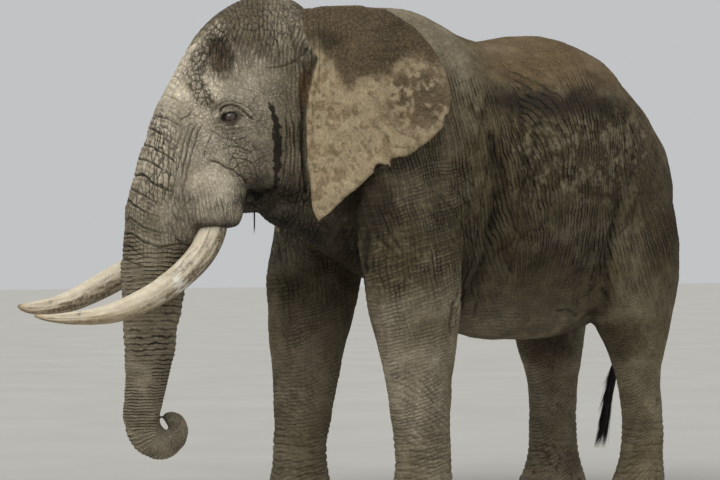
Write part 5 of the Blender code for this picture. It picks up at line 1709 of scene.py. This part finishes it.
def ivory_material():
    """Cream ivory with amber undersides, dirty scratches and fresh pale chips."""
    made, _, node, use = material("ivory", 0.46)
    dirt, scratches, chips = kept(node, "tone")
    amber = kept(node, "form")[0]
    where = here(node)
    cloud = noises(node, where, 22.0, 6.0)["Fac"]
    speck = noises(node, where, 60.0, 4.0)["Fac"]
    colour = mixed(node, stretched(node, cloud, 0.35, 0.70), (0.70, 0.62, 0.47), (0.58, 0.49, 0.35))
    colour = mixed(node, maths(node, "MULTIPLY", amber, 0.80), colour, (0.47, 0.33, 0.16))
    scratched = maths(node, "MULTIPLY", stretched(node, scratches, 0.55, 0.9), 0.5)
    colour = mixed(node, scratched, colour, (0.36, 0.27, 0.17))
    dirt = maths(node, "MULTIPLY", dirt, stretched(node, speck, 0.25, 0.60))
    colour = mixed(node, maths(node, "MULTIPLY", dirt, 0.92), colour, (0.085, 0.062, 0.042))
    colour = mixed(node, maths(node, "MULTIPLY", chips, 0.9), colour, (0.80, 0.77, 0.68))
    use("Base Color", colour)
    use("Normal", bumps(node, scratches, 0.3, 0.002))
    return made


def horn_material():
    """Worn brown horn with level grain."""
    made, _, node, use = material("toenail_horn", 0.62)
    flat = vectors(node, "MULTIPLY", here(node), (1.0, 1.0, 5.0))
    grain = noises(node, flat, 45.0, 5.0)["Fac"]
    colour = mixed(node, stretched(node, grain, 0.35, 0.66), (0.170, 0.135, 0.092), (0.085, 0.064, 0.042))
    use("Base Color", colour)
    use("Normal", bumps(node, grain, 0.5, 0.002))
    return made


def eye_material():
    """A wet eye: black pupil, brown iris with fibres, and dark white round it."""
    made, shader, node, use = material("eyeball", 0.08)
    shader.inputs["Coat Weight"].default_value = 1.0
    shader.inputs["Coat Roughness"].default_value = 0.03
    from_gaze = kept(node, "form")[0]
    fibre = noises(node, here(node), 260.0, 3.0)["Fac"]
    iris = mixed(node, stretched(node, fibre, 0.35, 0.65), (0.085, 0.045, 0.020), (0.028, 0.015, 0.008))
    colour = mixed(node, stretched(node, from_gaze, 0.055, 0.068), (0.003, 0.003, 0.003), iris)
    use("Base Color", mixed(node, stretched(node, from_gaze, 0.150, 0.175), colour, (0.050, 0.034, 0.026)))
    return made


def hair_material():
    """Stiff black hair with some brown in it."""
    made, _, node, use = material("tail_hair", 0.55)
    tint = noises(node, here(node), 35.0, 3.0)["Fac"]
    black, brown = (0.008, 0.007, 0.006), (0.030, 0.024, 0.019)
    use("Base Color", mixed(node, stretched(node, tint, 0.3, 0.7), black, brown))
    return made


# Floor, light and camera.


def floor():
    """A plain pale floor that reaches the horizon."""
    bm = bmesh.new()
    bmesh.ops.create_grid(bm, x_segments=1, y_segments=1, size=90)
    plane = new_object("floor", bm)
    made, shader, node, use = material("floor", 0.95)
    shader.inputs["Specular IOR Level"].default_value = 0.1
    cloud = noises(node, here(node), 0.8, 5.0)["Fac"]
    use("Base Color", mixed(node, stretched(node, cloud, 0.3, 0.7), (0.44, 0.43, 0.40), (0.48, 0.47, 0.44)))
    plane.data.materials.append(made)


def lights():
    """An even pale sky, a broad soft sun from the front left and a weak light from above."""
    world = bpy.data.worlds.new("soft_light")
    world.use_nodes = True
    sky = world.node_tree.nodes["Background"]
    sky.inputs["Color"].default_value = (0.86, 0.88, 0.90, 1)
    sky.inputs["Strength"].default_value = 0.62
    bpy.context.scene.world = world
    for name, strength, degrees, aim in (
        ("key", 1.15, 40, Vector((-0.25, 0.75, -0.75))),
        ("top", 0.90, 60, Vector((-0.35, 0.05, -1.0))),
    ):
        light = bpy.data.lights.new(name, "SUN")
        light.energy = strength
        light.angle = math.radians(degrees)
        light.color = (1.0, 0.98, 0.94)
        made = bpy.data.objects.new(name, light)
        made.rotation_euler = aim.to_track_quat("-Z", "Y").to_euler()
        bpy.context.scene.collection.objects.link(made)


def camera():
    """Standing eye level to the front left, aimed so that the horizon and the animal's framing match."""
    back = Vector((math.sin(CAMERA_SIDE), -math.cos(CAMERA_SIDE), 0))
    right = Vector((math.cos(CAMERA_SIDE), math.sin(CAMERA_SIDE), 0))
    ahead = -back * math.cos(CAMERA_YAW) - right * math.sin(CAMERA_YAW)
    right = right * math.cos(CAMERA_YAW) - back * math.sin(CAMERA_YAW)
    up = UP * math.cos(CAMERA_PITCH) - ahead * math.sin(CAMERA_PITCH)
    ahead = ahead * math.cos(CAMERA_PITCH) + UP * math.sin(CAMERA_PITCH)
    lens = bpy.data.cameras.new("camera")
    lens.lens = 128
    lens.clip_end = 400
    made = bpy.data.objects.new("camera", lens)
    place = SHIFT + back * CAMERA_DISTANCE + UP * CAMERA_HEIGHT
    made.matrix_world = Matrix.Translation(place) @ Matrix((right, up, -ahead)).transposed().to_4x4()
    bpy.context.scene.collection.objects.link(made)
    bpy.context.scene.camera = made


# Putting it together.


def finished(obj, look, replaced=()):
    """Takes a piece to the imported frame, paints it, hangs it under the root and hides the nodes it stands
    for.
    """
    obj.data.transform(Matrix.Translation(SHIFT))
    obj.data.materials.clear()
    obj.data.materials.append(look)
    obj.data.polygons.foreach_set("use_smooth", np.ones(len(obj.data.polygons), bool))
    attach(obj, "root")
    if replaced:
        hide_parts(*replaced)


def main():
    """Makes every piece, the floor, lights and camera."""
    hair, ivory, horn, eye_look = hair_material(), ivory_material(), horn_material(), eye_material()
    finished(wrinkled_skin(), skin_material(), FLESH)
    finished(tail_hairs(), hair, ["tail_tuft"])
    finished(chin_hairs(), hair)
    for side in SIDES:
        finished(eyeball(side), eye_look, [f"eye_{side}"])
        finished(lashes(side), hair)
        finished(tusk(side), ivory, [f"tusk_{side}"])
        for foot, count in (("front", 4), ("hind", 3)):
            stood_for = [f"toenail_{foot}_{side}_{i + 1}" for i in range(count)]
            finished(nails(foot, side), horn, stood_for)
    floor()
    lights()
    camera()
    bpy.context.scene.view_settings.view_transform = "Standard"


main()
